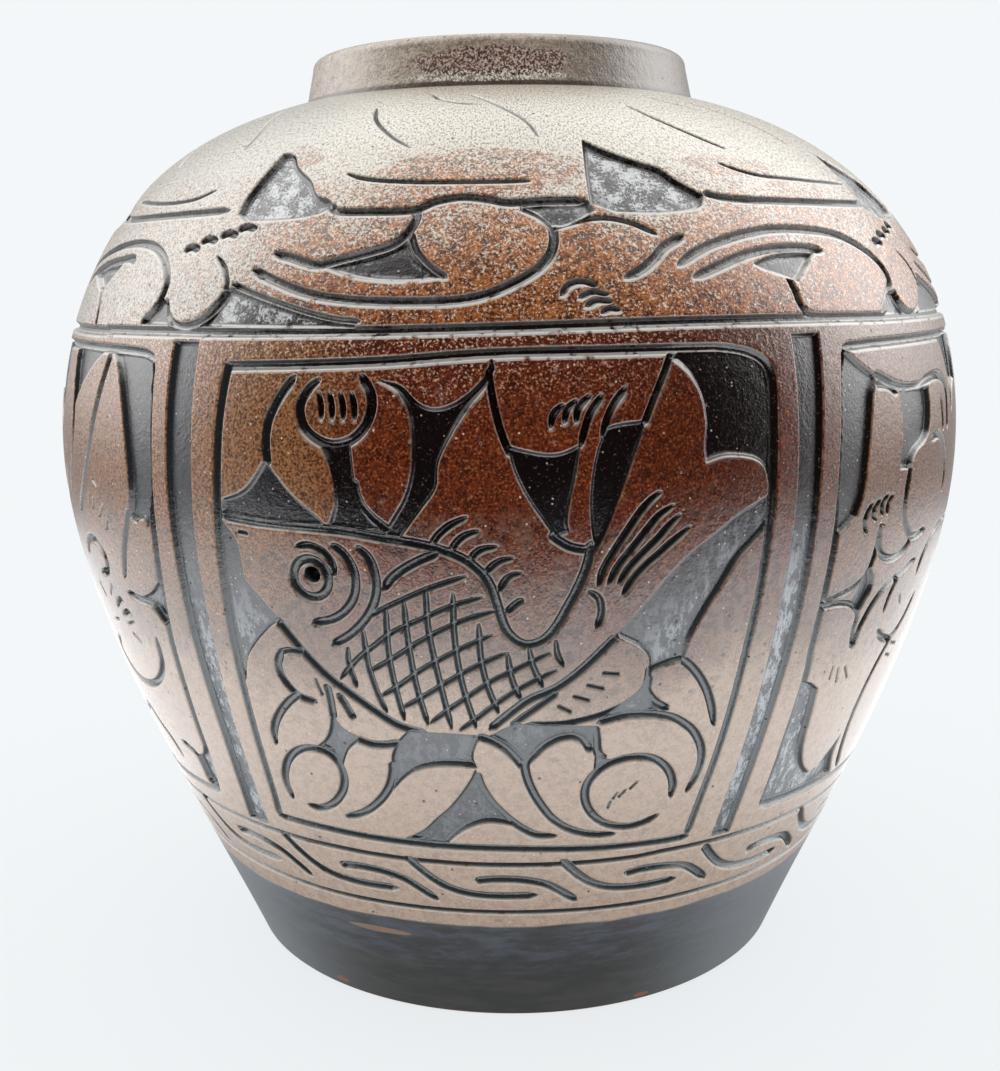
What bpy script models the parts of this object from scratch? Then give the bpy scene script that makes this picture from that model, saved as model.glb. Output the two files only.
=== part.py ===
"""A wide-bellied stoneware jar with a short neck, built from four thrown sections that a potter joins.

The model is in metres, +Z up, with its origin on the table at the middle of the foot. Each section is a
wall profile turned about Z. The sections meet on bevelled seams, which lie where the real jar hides them:
in the dark foot, in the groove over the carved panels, and in the crease under the neck.

The main carving is cut into the turned wall: scraped strips and five framed panels on the body, and clouds
and petals on the shoulder. Each pattern is drawn flat on its field and bent round the wall.
"""

import math

import bmesh
import bpy

# The outer shape, from the photograph.
JAR_HEIGHT = 0.2800
NECK_HEIGHT = 0.0140
FOOT_RADIUS = 0.0888
BELLY_RADIUS = 0.1424
BELLY_HEIGHT = 0.1635
NECK_BASE_RADIUS = 0.0618
RIM_RADIUS = 0.0590

# Reach of the handles that bend the two curves of the outline.
FOOT_HANDLE_OUT = 0.0168
FOOT_HANDLE_UP = 0.0414
BELLY_HANDLE_DOWN = 0.0524
BELLY_HANDLE_UP = 0.0427
SHOULDER_HANDLE_OUT = 0.0636
SHOULDER_HANDLE_DOWN = 0.0149

# The fired clay.
WALL_THICKNESS = 0.0080
FLOOR_THICKNESS = 0.0100
SEAM_GAP = 0.0003
SEAM_BEVEL_RISE = 0.0030

# Where the sections are luted together, as heights on the outer face.
BASE_SEAM_HEIGHT = 0.0220
SHOULDER_SEAM_HEIGHT = 0.2015

# The turned foot.
FOOT_EDGE_BEVEL = 0.0015
FOOT_RING_WIDTH = 0.0095
FOOT_RECESS_DEPTH = 0.0030
FOOT_RECESS_SLOPE = 0.0020
FLOOR_CORNER_RISE = 0.0050
FLOOR_CORNER_RUN = 0.0070

# The neck, its rim, and the flat seat on the shoulder that it stands on.
NECK_THICKNESS = 0.0078
NECK_WAIST = 0.0012
NECK_WAIST_HEIGHT = 0.0030
RIM_OUTER_ROUND = 0.0030
RIM_INNER_ROUND = 0.0020
SEAT_LIP_DEPTH = 0.0060

# The turned grooves that rule the jar into bands, as heights on the outer face.
GROOVE_HEIGHTS = (0.0416, 0.0593)
GROOVE_WIDTH = 0.0022
GROOVE_DEPTH = 0.0014
SEAM_GROOVE_WIDTH = 0.0030
SEAM_GROOVE_DEPTH = 0.0016
NECK_CREASE_WIDTH = 0.0010
NECK_CREASE_DEPTH = 0.0006

# The fields that the carver filled, as heights on the outer face.
PANEL_FOOT_HEIGHT = 0.0652
PANEL_TOP_HEIGHT = 0.1961
STRIP_FOOT_HEIGHT = 0.0621
STRIP_TOP_HEIGHT = 0.1990
CLOUD_FOOT_HEIGHT = 0.2035
PETAL_FOOT_SHARE = 0.30

# The carver's cuts: gouged lines and scraped grounds.
LINE_RADIUS = 0.0013
GROUND_DEPTH = 0.0014
GROUND_OVERRUN = 0.0030

# How finely the curves are faceted.
TURN_STEPS = 52
OUTLINE_SAMPLES = 400
WALL_ROWS = 8
SHOULDER_ROWS = 7
INNER_ROWS = 5
ROUND_STEPS = 3
LINE_STEPS = 2
SHARP_TURN = math.radians(48)
BEND_SAG = 0.0006
MERGE_DISTANCE = 0.00001

# Middle and half width of each field, as shares of a whole turn from the front.
FISH_FIELD_SHARES = (-0.0097, 0.0833)
BACK_FISH_FIELD_SHARES = (0.3903, 0.0833)
LEAF_FIELD_SHARES = (0.1875, 0.0889)
BUD_FIELD_SHARES = (-0.2042, 0.0903)
BACK_BUD_FIELD_SHARES = (0.5931, 0.0903)
CLOUD_TURN_SHARES = (0.0, 0.2528, 0.5, -0.2486)
PETAL_TURN_SHARES = (0.0, 0.125, 0.25, 0.375, 0.5, 0.625, 0.75, 0.87)
QUARTER_HALF_SHARE = 0.125

# The strips' middles at the top, at half height and at the foot, and their half width, as shares of a turn.
STRIP_SHARES = (
    (-0.1000, -0.1019, -0.1094),
    (0.0885, 0.0850, 0.0817),
    (0.2889, 0.2889, 0.2889),
    (0.4917, 0.4917, 0.4917),
    (0.6944, 0.6944, 0.6944),
)
STRIP_HALF_SHARE = 0.0050
STRIP_ROWS = 5

# Patterns are drawn in shares of their field: across from -1 at the left to 1 at the right, up from 0 to 1.
FISH_FRAME_SHARES = (
    (-1.02, 0.015), (-0.98, 0.245), (-0.94, 0.51), (-0.91, 0.77), (-0.87, 0.98), (-0.28, 0.995),
    (0.15, 1.005), (0.68, 1.005), (0.92, 0.995), (1.01, 0.95), (1, 0.78), (0.98, 0.55), (0.95, 0.29),
    (0.9, -0.01), (0.45, -0.01), (-0.22, 0),
)
FISH_LINE_SHARES = (
    (
        (-0.9, 0.705), (-0.58, 0.695), (-0.32, 0.685), (-0.13, 0.665), (0.01, 0.62), (0.06, 0.555),
        (0.12, 0.49), (0.21, 0.49), (0.29, 0.555), (0.36, 0.675),
    ),
    (
        (-0.72, 0.505), (-0.55, 0.395), (-0.32, 0.3), (-0.18, 0.285),
    ),
    (
        (0.46, 0.495), (0.25, 0.385), (0.02, 0.3),
    ),
    (
        (-0.39, 0.665), (-0.34, 0.615), (-0.36, 0.545), (-0.52, 0.47),
    ),
)
FISH_GROUND_SHARES = (
    (
        (-0.31, 0.96), (-0.18, 0.92), (-0.07, 0.92), (0.035, 0.975), (-0.02, 0.915), (-0.12, 0.82),
        (-0.17, 0.735), (-0.25, 0.685), (-0.31, 0.69), (-0.23, 0.755), (-0.2, 0.835), (-0.22, 0.91),
    ),
    (
        (0.67, 0.995), (0.9, 0.99), (0.98, 0.95), (0.98, 0.74), (0.96, 0.795), (0.86, 0.815),
        (0.75, 0.805), (0.75, 0.875), (0.71, 0.96),
    ),
    (
        (0.98, 0.735), (0.78, 0.675), (0.62, 0.595), (0.47, 0.5), (0.55, 0.465), (0.59, 0.41),
        (0.72, 0.43), (0.77, 0.525), (0.88, 0.62), (0.98, 0.695),
    ),
    (
        (-0.9, 0.695), (-0.84, 0.62), (-0.84, 0.585), (-0.71, 0.515), (-0.86, 0.445), (-0.93, 0.37),
        (-0.94, 0.48), (-0.92, 0.585),
    ),
    (
        (-0.29, 0.28), (-0.01, 0.285), (-0.03, 0.205), (-0.2, 0.205), (-0.36, 0.155), (-0.34, 0.22),
    ),
)
SCROLL_LINE_SHARES = (
    (
        (-0.61, 0.965), (-0.7, 0.885), (-0.7, 0.805),
    ),
    (
        (-0.52, 0.96), (-0.58, 0.91), (-0.46, 0.845), (-0.33, 0.905), (-0.37, 0.965),
    ),
    (
        (0.42, 0.31), (0.62, 0.315), (0.81, 0.26), (0.87, 0.19), (0.84, 0.115),
    ),
    (
        (0.77, 0.105), (0.74, 0.17), (0.56, 0.22), (0.4, 0.165), (0.46, 0.065), (0.6, 0.04),
    ),
    (
        (0.15, 0.215), (0.18, 0.145), (0.32, 0.055), (0.54, 0.025),
    ),
    (
        (-0.81, 0.065), (-0.65, 0.095), (-0.6, 0.185), (-0.74, 0.22), (-0.89, 0.145), (-0.89, 0.08),
    ),
    (
        (-0.37, 0.205), (-0.45, 0.11), (-0.63, 0.055),
    ),
)
SCROLL_GROUND_SHARES = (
    (
        (-0.89, 0.74), (-0.77, 0.775), (-0.71, 0.815), (-0.63, 0.765), (-0.5, 0.71), (-0.9, 0.715),
    ),
    (
        (-0.51, 0.845), (-0.46, 0.78), (-0.49, 0.7), (-0.3, 0.695), (-0.38, 0.75), (-0.4, 0.85),
    ),
    (
        (0.1, 0.845), (0.22, 0.83), (0.33, 0.845), (0.3, 0.75), (0.29, 0.695), (0.25, 0.685),
        (0.17, 0.75),
    ),
    (
        (0.42, 0.875), (0.54, 0.885), (0.49, 0.81), (0.43, 0.72), (0.38, 0.665), (0.37, 0.735),
        (0.38, 0.82),
    ),
    (
        (-0.04, 0.205), (-0.16, 0.105), (-0.36, 0.025), (-0.19, 0.015), (-0.09, 0.05), (0.11, 0.06),
        (0.02, 0.115),
    ),
    (
        (0.03, 0.285), (0.12, 0.315), (0.4, 0.295), (0.4, 0.25), (0.33, 0.28), (0.22, 0.26),
        (0.14, 0.22),
    ),
)
LEAF_HALF_FRAME_SHARES = (
    (0, 1.005), (-0.55, 1), (-0.95, 0.995), (-0.98, 0.85), (-1, 0.645), (-1.01, 0.405), (-1, 0.215),
    (-1, 0.02), (-0.55, 0.01), (0, 0.01),
)
LEAF_LINE_SHARES = (
    (
        (-0.8, 0.94), (-0.59, 0.905), (-0.33, 0.92), (-0.2, 0.885), (-0.2, 0.805),
    ),
    (
        (-0.58, 0.74), (-0.6, 0.66), (-0.52, 0.6), (-0.65, 0.565), (-0.76, 0.645),
    ),
    (
        (-0.76, 0.385), (-0.65, 0.5), (-0.42, 0.54),
    ),
    (
        (-0.42, 0.36), (-0.52, 0.23), (-0.4, 0.035),
    ),
)
LEAF_GROUND_SHARES = (
    (
        (-0.93, 0.98), (-0.79, 0.935), (-0.84, 0.85), (-0.9, 0.675), (-0.97, 0.65), (-0.96, 0.85),
    ),
    (
        (-0.67, 0.895), (-0.42, 0.9), (-0.43, 0.815), (-0.59, 0.755), (-0.66, 0.755), (-0.64, 0.86),
    ),
    (
        (-0.98, 0.325), (-0.9, 0.305), (-0.87, 0.165), (-0.73, 0.065), (-0.57, 0.14), (-0.48, 0.025),
        (-0.97, 0.03),
    ),
)
LEAF_MIDDLE_SHARES = (
    (
        (-0.23, 0.99), (-0.1, 0.835), (0, 0.905), (0.1, 0.835), (0.23, 0.99),
    ),
)
BUD_HALF_FRAME_SHARES = (
    (0, 1), (0.42, 1), (0.85, 1), (0.99, 0.985), (1, 0.88), (0.99, 0.63), (0.94, 0.43), (0.9, 0.22),
    (0.81, 0.02), (0.42, 0.01), (0, 0.01),
)
BUD_LINE_SHARES = (
    (
        (0.71, 0.98), (0.59, 0.81), (0.39, 0.65),
    ),
    (
        (0.35, 0.98), (0.39, 0.88), (0.26, 0.68),
    ),
    (
        (0.83, 0.405), (0.6, 0.27), (0.34, 0.33),
    ),
)
BUD_GROUND_SHARES = (
    (
        (0.75, 0.985), (0.82, 0.93), (0.87, 0.74), (0.97, 0.665), (0.97, 0.75), (0.96, 0.98),
    ),
    (
        (0.65, 0.985), (0.44, 0.9), (0.41, 0.88), (0.37, 0.985),
    ),
)
BUD_MIDDLE_SHARES = (
    (
        (0.2, 0.99), (0.18, 0.865), (0.11, 0.815), (0, 0.88), (-0.11, 0.815), (-0.18, 0.865),
        (-0.2, 0.99),
    ),
    (
        (0, 0.355), (0.18, 0.425), (0.21, 0.35), (0, 0.23), (-0.21, 0.35), (-0.18, 0.425),
    ),
    (
        (0.32, 0.025), (0.24, 0.085), (0, 0.11), (-0.24, 0.085), (-0.32, 0.025),
    ),
)
CLOUD_LINE_SHARES = (
    (
        (-1.62, 0.445), (-1.51, 0.585), (-1.27, 0.725), (-1.06, 0.695), (-0.95, 0.445), (-0.95, 0.125),
        (-0.99, 0.05),
    ),
    (
        (-1.58, 0.335), (-1.36, 0.535), (-1.14, 0.55),
    ),
    (
        (-0.91, 0.185), (-0.86, 0.04), (-0.76, 0.06), (-0.7, 0.29),
    ),
    (
        (-0.58, 0.595), (-0.45, 0.49), (-0.28, 0.66), (-0.22, 0.955),
    ),
    (
        (-0.64, 0.455), (-0.5, 0.275), (-0.22, 0.18), (-0.07, 0.22), (0.09, 0.51), (0.11, 0.79),
        (0.06, 0.955),
    ),
)
CLOUD_GROUND_SHARES = (
    (
        (-0.69, 0.285), (-0.53, 0.14), (-0.36, 0.035), (-0.75, 0.035),
    ),
    (
        (-0.43, 0.47), (-0.24, 0.65), (-0.15, 0.38), (-0.31, 0.36),
    ),
)
PETAL_LINE_SHARES = (
    (
        (-0.9, 0.02), (-0.58, 0.005), (-0.18, 0.02), (0.37, 0.02),
    ),
)
PETAL_GROUND_SHARES = (
    (
        (0.43, 0.025), (0.46, 0.245), (0.48, 0.34), (0.68, 0.245), (0.95, 0.12), (1.05, 0.05),
        (0.81, -0.02), (0.56, -0.015),
    ),
)


BROWN_GLAZE = (0.115, 0.036, 0.015, 1.0)
DARK_GLAZE = (0.030, 0.034, 0.042, 1.0)
CLAY_BROWN = (0.145, 0.058, 0.028, 1.0)


def clear_scene():
    for obj in list(bpy.data.objects):
        bpy.data.objects.remove(obj, do_unlink=True)


def make_collection(name):
    collection = bpy.data.collections.new(name)
    bpy.context.scene.collection.children.link(collection)
    return collection


def glaze_material(name, colour, roughness):
    material = bpy.data.materials.new(name)
    material.use_nodes = True
    shader = material.node_tree.nodes["Principled BSDF"]
    shader.inputs["Base Color"].default_value = colour
    shader.inputs["Roughness"].default_value = roughness
    shader.inputs["Metallic"].default_value = 0.0
    material.diffuse_color = colour
    return material


def bezier(start, start_handle, end_handle, end, samples):
    """Points (radius, height) along one cubic curve."""
    points = []
    for step in range(samples + 1):
        t = step / samples
        weights = ((1 - t) ** 3, 3 * t * (1 - t) ** 2, 3 * t * t * (1 - t), t**3)
        corners = (start, start_handle, end_handle, end)
        points.append(tuple(sum(w * c[i] for w, c in zip(weights, corners)) for i in (0, 1)))
    return points


def outline():
    """The outer face from the foot to the neck: one curve up to the belly and one over the shoulder."""
    foot = (FOOT_RADIUS, 0.0)
    foot_handle = (FOOT_RADIUS + FOOT_HANDLE_OUT, FOOT_HANDLE_UP)
    belly_below = (BELLY_RADIUS, BELLY_HEIGHT - BELLY_HANDLE_DOWN)
    belly = (BELLY_RADIUS, BELLY_HEIGHT)
    belly_above = (BELLY_RADIUS, BELLY_HEIGHT + BELLY_HANDLE_UP)
    neck = (NECK_BASE_RADIUS, JAR_HEIGHT - NECK_HEIGHT)
    neck_handle = (neck[0] + SHOULDER_HANDLE_OUT, neck[1] - SHOULDER_HANDLE_DOWN)
    lower = bezier(foot, foot_handle, belly_below, belly, OUTLINE_SAMPLES)
    upper = bezier(belly, belly_above, neck_handle, neck, OUTLINE_SAMPLES)
    return lower + upper[1:]


class Wall:
    """The outer face as a curve measured by arc length, with the normal that the wall's depth follows."""

    def __init__(self):
        self.points = outline()
        self.lengths = [0.0]
        for (r0, z0), (r1, z1) in zip(self.points, self.points[1:]):
            self.lengths.append(self.lengths[-1] + math.hypot(r1 - r0, z1 - z0))

    def _place(self, keys, value):
        """The outline's stretch that holds value, and how far along it value lies."""
        last = len(keys) - 2
        for i in range(last + 1):
            if value <= keys[i + 1] or i == last:
                return i, (value - keys[i]) / (keys[i + 1] - keys[i])

    def length_at_height(self, height):
        i, t = self._place([z for _, z in self.points], height)
        return self.lengths[i] + t * (self.lengths[i + 1] - self.lengths[i])

    def at(self, length, depth=0.0):
        """The point at this arc length, sunk by depth below the outer face."""
        i, t = self._place(self.lengths, length)
        (r0, z0), (r1, z1) = self.points[i], self.points[i + 1]
        run = math.hypot(r1 - r0, z1 - z0)
        normal = ((z1 - z0) / run, -(r1 - r0) / run)
        return (r0 + t * (r1 - r0) - depth * normal[0], z0 + t * (z1 - z0) - depth * normal[1])

    def lean(self, length):
        """The angle that the face leans in from upright at this arc length."""
        i, _ = self._place(self.lengths, length)
        (r0, z0), (r1, z1) = self.points[i], self.points[i + 1]
        return math.atan2(r0 - r1, z1 - z0)

    def total(self):
        return self.lengths[-1]


def spread(start, end, count):
    """Even steps between two values, with both ends."""
    return [start + (end - start) * i / count for i in range(count + 1)]


def outer_side(wall, low, high, rows):
    """Outer face between two arc lengths, from the top down, with the grooves and the widest ring on it."""
    grooves = [wall.length_at_height(h) for h in GROOVE_HEIGHTS]
    grooves = [g for g in grooves if low + GROOVE_WIDTH < g < high - GROOVE_WIDTH]
    levels = spread(low, high, rows)
    belly = wall.length_at_height(BELLY_HEIGHT)
    if low < belly < high:
        below = min(max(round(rows * (belly - low) / (high - low)), 1), rows - 1)
        levels = spread(low, belly, below) + spread(belly, high, rows - below)[1:]
    marks = [(s, 0.0) for s in levels if all(abs(s - g) > GROOVE_WIDTH for g in grooves)]
    for groove in grooves:
        marks += [(groove - GROOVE_WIDTH / 2, 0.0), (groove, GROOVE_DEPTH)]
        marks.append((groove + GROOVE_WIDTH / 2, 0.0))
    return [wall.at(s, depth) for s, depth in sorted(marks, reverse=True)]


def inner_side(wall, low, high, rows):
    """Inner face between two arc lengths of the outer one, from the bottom up."""
    return [wall.at(s, WALL_THICKNESS) for s in spread(low, high, rows)]


def round_corner(centre, radius, start_turn, end_turn):
    """An arc of the profile, with its ends given in quarter turns."""
    angles = [math.pi / 2 * turn for turn in spread(start_turn, end_turn, ROUND_STEPS)]
    return [(centre[0] + radius * math.cos(a), centre[1] + radius * math.sin(a)) for a in angles]


def turned(name, profile, material, collection, closed=True):
    """A solid of revolution. The profile runs down its outer side, as the Screw modifier needs."""
    mesh = bpy.data.meshes.new(name)
    edges = [(i, i + 1) for i in range(len(profile) - 1)]
    if closed:
        edges.append((len(profile) - 1, 0))
    mesh.from_pydata([(r, 0.0, z) for r, z in profile], edges, [])
    obj = bpy.data.objects.new(name, mesh)
    collection.objects.link(obj)
    screw = obj.modifiers.new("turn", "SCREW")
    screw.axis = "Z"
    screw.steps = TURN_STEPS
    screw.render_steps = TURN_STEPS
    screw.use_merge_vertices = True
    screw.merge_threshold = MERGE_DISTANCE
    screw.use_smooth_shade = True
    mesh.materials.append(material)
    return obj


def base_profile(wall):
    """The base: a slab with a turned foot ring under it and a low upturned edge that the wall stands on."""
    seam = wall.length_at_height(BASE_SEAM_HEIGHT)
    seam_inner = wall.at(seam + SEAM_BEVEL_RISE, WALL_THICKNESS)
    floor_top = FOOT_RECESS_DEPTH + FLOOR_THICKNESS
    corner_foot = wall.at(wall.length_at_height(floor_top + FLOOR_CORNER_RISE), WALL_THICKNESS)
    ring_inner = FOOT_RADIUS - FOOT_RING_WIDTH
    profile = [(0.0, floor_top)]
    profile.append((corner_foot[0] - FLOOR_CORNER_RUN, floor_top))
    profile.append(corner_foot)
    profile.append(seam_inner)
    profile.append(wall.at(seam))
    profile.append(wall.at(wall.length_at_height(floor_top)))
    profile.append(wall.at(wall.length_at_height(FOOT_EDGE_BEVEL)))
    profile.append((FOOT_RADIUS - FOOT_EDGE_BEVEL, 0.0))
    profile.append((ring_inner, 0.0))
    profile.append((ring_inner - FOOT_RECESS_SLOPE, FOOT_RECESS_DEPTH))
    profile.append((0.0, FOOT_RECESS_DEPTH))
    return profile


def wall_profile(wall):
    """The thrown wall from the foot to the shoulder, which carries the panels and the scroll band."""
    low = wall.length_at_height(BASE_SEAM_HEIGHT) + SEAM_GAP
    seam = wall.length_at_height(SHOULDER_SEAM_HEIGHT)
    profile = [wall.at(seam + SEAM_BEVEL_RISE, WALL_THICKNESS)]
    profile.append(wall.at(seam, SEAM_GROOVE_DEPTH))
    profile += outer_side(wall, low, seam - SEAM_GROOVE_WIDTH / 2, WALL_ROWS)
    profile += inner_side(wall, low + SEAM_BEVEL_RISE, seam - SEAM_BEVEL_RISE, INNER_ROWS)
    return profile


def neck_seat(wall):
    """The flat ring that the neck stands on: its outer edge in the crease, its inner edge and its height."""
    outer, height = wall.at(wall.total(), NECK_CREASE_DEPTH)
    return outer, NECK_BASE_RADIUS - NECK_THICKNESS, height


def shoulder_profile(wall):
    """The dome that closes the jar in, with the flat seat that the neck stands on."""
    low = wall.length_at_height(SHOULDER_SEAM_HEIGHT) + SEAM_GAP
    high = wall.total()
    seat_outer, seat_inner, seat_height = neck_seat(wall)
    profile = [(seat_inner, seat_height), (seat_outer, seat_height)]
    profile += outer_side(wall, low + SEAM_GROOVE_WIDTH / 2, high - NECK_CREASE_WIDTH, SHOULDER_ROWS)
    profile.append(wall.at(low, SEAM_GROOVE_DEPTH))
    profile += inner_side(wall, low + SEAM_BEVEL_RISE, high, INNER_ROWS)
    profile.append((seat_inner, seat_height - SEAT_LIP_DEPTH))
    return profile


def neck_profile(wall):
    """The short neck, drawn in a little towards a rounded rim with a flat land on top."""
    seat_outer, seat_inner, seat_height = neck_seat(wall)
    foot = seat_height + SEAM_GAP
    rim_inner = RIM_RADIUS - NECK_THICKNESS
    outer_centre = (RIM_RADIUS - RIM_OUTER_ROUND, JAR_HEIGHT - RIM_OUTER_ROUND)
    inner_centre = (rim_inner + RIM_INNER_ROUND, JAR_HEIGHT - RIM_INNER_ROUND)
    profile = round_corner(outer_centre, RIM_OUTER_ROUND, 1, 0)
    profile.append((NECK_BASE_RADIUS - NECK_WAIST, foot + NECK_WAIST_HEIGHT))
    profile.append((seat_outer, foot))
    profile.append((seat_inner, foot))
    profile += round_corner(inner_centre, RIM_INNER_ROUND, 2, 1)
    return profile


class Field:
    """A part of the wall that takes one pattern, whose points are shares: across -1 to 1, and up 0 to 1."""

    def __init__(self, wall, middle_share, half_share, foot, top):
        self.wall = wall
        self.middle_share = middle_share
        self.half_share = half_share
        self.foot = foot
        self.top = top

    def at(self, across, up, depth=0.0):
        """The point in space at these shares, sunk by depth below the outer face."""
        turn = 2 * math.pi * (self.middle_share + across * self.half_share)
        radius, height = self.wall.at(self.foot + up * (self.top - self.foot), depth)
        return (radius * math.sin(turn), -radius * math.cos(turn), height)

    def stretches(self):
        """Straight stretches for each share of one, across and up, so that none sags more than BEND_SAG."""
        turn = 2 * math.acos(1 - BEND_SAG / BELLY_RADIUS)
        rise = self.top - self.foot
        lean = abs(self.wall.lean(self.top) - self.wall.lean(self.foot))
        return 2 * math.pi * self.half_share / turn, math.sqrt(rise * lean / (8 * BEND_SAG))


def turning(a, b, c):
    """How far a line turns at b on its way from a to c."""
    turn = math.atan2(c[1] - b[1], c[0] - b[0]) - math.atan2(b[1] - a[1], b[0] - a[0])
    return abs(math.remainder(turn, 2 * math.pi))


def smooth(points):
    """A curve through all the points, by Catmull and Rom's rule, with more steps where it turns sharply."""
    ends = [tuple(2 * a - b for a, b in zip(points[0], points[1]))]
    ends.append(tuple(2 * a - b for a, b in zip(points[-1], points[-2])))
    padded = [ends[0]] + list(points) + [ends[1]]
    curve = []
    for a, b, c, d in zip(padded, padded[1:], padded[2:], padded[3:]):
        steps = LINE_STEPS if max(turning(a, b, c), turning(b, c, d)) > SHARP_TURN else 1
        for t in spread(0, 1, steps)[:-1]:
            before, near = -t + 2 * t**2 - t**3, 2 - 5 * t**2 + 3 * t**3
            far, after = t + 4 * t**2 - 3 * t**3, -(t**2) + t**3
            weights = (before, near, far, after)
            curve.append(tuple(sum(w * p[i] for w, p in zip(weights, (a, b, c, d))) / 2 for i in (0, 1)))
    return curve + [points[-1]]


def bent(points, field):
    """The same line with points added until no stretch is too long to follow the wall."""
    across, up = field.stretches()
    line = [points[0]]
    for a, b in zip(points, points[1:]):
        count = math.ceil(max(abs(b[0] - a[0]) * across, abs(b[1] - a[1]) * up, 1))
        line += [(a[0] + (b[0] - a[0]) * t, a[1] + (b[1] - a[1]) * t) for t in spread(0, 1, count)[1:]]
    return line


def hide_cutter(cutter):
    cutter.hide_render = True
    cutter.display_type = "WIRE"


def gouge(name, field, points, cutters, closed=False):
    """A cutter for one gouged line: a slim four-sided bar laid along the wall."""
    if closed:
        points = bent(list(points) + [points[0]], field)[:-1]
    else:
        points = bent(smooth(points), field)
    curve = bpy.data.curves.new(name, "CURVE")
    curve.dimensions = "3D"
    curve.bevel_depth = LINE_RADIUS
    curve.bevel_resolution = 0
    curve.use_fill_caps = True
    spline = curve.splines.new("POLY")
    spline.points.add(len(points) - 1)
    for point, (across, up) in zip(spline.points, points):
        point.co = (*field.at(across, up), 1.0)
    spline.use_cyclic_u = closed
    drawn = bpy.data.objects.new(name, curve)
    cutters.objects.link(drawn)
    evaluated = drawn.evaluated_get(bpy.context.evaluated_depsgraph_get())
    mesh = bpy.data.meshes.new_from_object(evaluated)
    form = bmesh.new()
    form.from_mesh(mesh)
    bmesh.ops.remove_doubles(form, verts=form.verts, dist=MERGE_DISTANCE)
    bmesh.ops.recalc_face_normals(form, faces=form.faces)
    form.to_mesh(mesh)
    form.free()
    place = drawn.matrix_world.copy()
    bpy.data.objects.remove(drawn, do_unlink=True)
    cutter = bpy.data.objects.new(name, mesh)
    cutter.matrix_world = place
    cutters.objects.link(cutter)
    hide_cutter(cutter)


def scrape(name, field, points, cutters):
    """A cutter for one scraped ground: a flat plate of its outline, scored across and bent round the wall."""
    form = bmesh.new()
    form.faces.new([form.verts.new((across, up, 0.0)) for across, up in points])
    for axis, stretches in enumerate(field.stretches()):
        low, high = min(p[axis] for p in points), max(p[axis] for p in points)
        count = math.ceil(max((high - low) * stretches, 1))
        direction = (1.0, 0.0, 0.0) if axis == 0 else (0.0, 1.0, 0.0)
        for mark in spread(low, high, count)[1:-1]:
            everything = form.verts[:] + form.edges[:] + form.faces[:]
            place = tuple(mark * d for d in direction)
            bmesh.ops.bisect_plane(form, geom=everything, plane_co=place, plane_no=direction)
    made = bmesh.ops.extrude_face_region(form, geom=form.faces[:])
    sunk = [item for item in made["geom"] if isinstance(item, bmesh.types.BMVert)]
    for vert in form.verts:
        depth = GROUND_DEPTH if vert in sunk else -GROUND_OVERRUN
        vert.co = field.at(vert.co.x, vert.co.y, depth)
    bmesh.ops.recalc_face_normals(form, faces=form.faces)
    mesh = bpy.data.meshes.new(name)
    form.to_mesh(mesh)
    form.free()
    cutter = bpy.data.objects.new(name, mesh)
    cutters.objects.link(cutter)
    hide_cutter(cutter)


def flipped(points):
    """The same line with its left and right changed over, and run the other way round."""
    return [(-across, up) for across, up in reversed(points)]


def carve_fish(wall, field_shares, name, cutters, scrolls):
    """The fish in its frame, and with scrolls set, the lotus scrolls round it too."""
    field = Field(wall, *field_shares, *panel_span(wall))
    gouge(name + "_frame", field, FISH_FRAME_SHARES, cutters, closed=True)
    lines = FISH_LINE_SHARES + (SCROLL_LINE_SHARES if scrolls else ())
    grounds = FISH_GROUND_SHARES + (SCROLL_GROUND_SHARES if scrolls else ())
    for i, points in enumerate(lines):
        gouge(f"{name}_line_{i}", field, points, cutters)
    for i, points in enumerate(grounds):
        scrape(f"{name}_ground_{i}", field, points, cutters)


def carve_mirrored(wall, field_shares, name, half_frame, lines, grounds, middle, cutters):
    """A side panel: one half is drawn, and the other is the same pattern turned over."""
    field = Field(wall, *field_shares, *panel_span(wall))
    frame = list(half_frame) + flipped(half_frame)[1:-1]
    gouge(name + "_frame", field, frame, cutters, closed=True)
    for i, points in enumerate(lines):
        gouge(f"{name}_line_{i}", field, points, cutters)
        gouge(f"{name}_far_line_{i}", field, flipped(points), cutters)
    for i, points in enumerate(grounds):
        scrape(f"{name}_ground_{i}", field, points, cutters)
        scrape(f"{name}_far_ground_{i}", field, flipped(points), cutters)
    for i, points in enumerate(middle):
        scrape(f"{name}_middle_{i}", field, points, cutters)


def panel_span(wall):
    return wall.length_at_height(PANEL_FOOT_HEIGHT), wall.length_at_height(PANEL_TOP_HEIGHT)


def carve_strips(wall, cutters):
    """The scraped strips that part the panels. Some lean outwards towards the foot."""
    foot, top = wall.length_at_height(STRIP_FOOT_HEIGHT), wall.length_at_height(STRIP_TOP_HEIGHT)
    for i, (at_top, at_middle, at_foot) in enumerate(STRIP_SHARES):
        field = Field(wall, at_middle, STRIP_HALF_SHARE, foot, top)
        lean_top = (at_top - at_middle) / STRIP_HALF_SHARE
        lean_foot = (at_foot - at_middle) / STRIP_HALF_SHARE
        edge = []
        for up in spread(0, 1, STRIP_ROWS):
            away = 2 * up - 1
            lean = lean_top * away**2 if away > 0 else lean_foot * away**2
            edge.append((lean, up))
        right = [(lean + 1, up) for lean, up in edge]
        left = [(lean - 1, up) for lean, up in reversed(edge)]
        scrape(f"strip_{i}", field, right + left, cutters)


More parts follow.
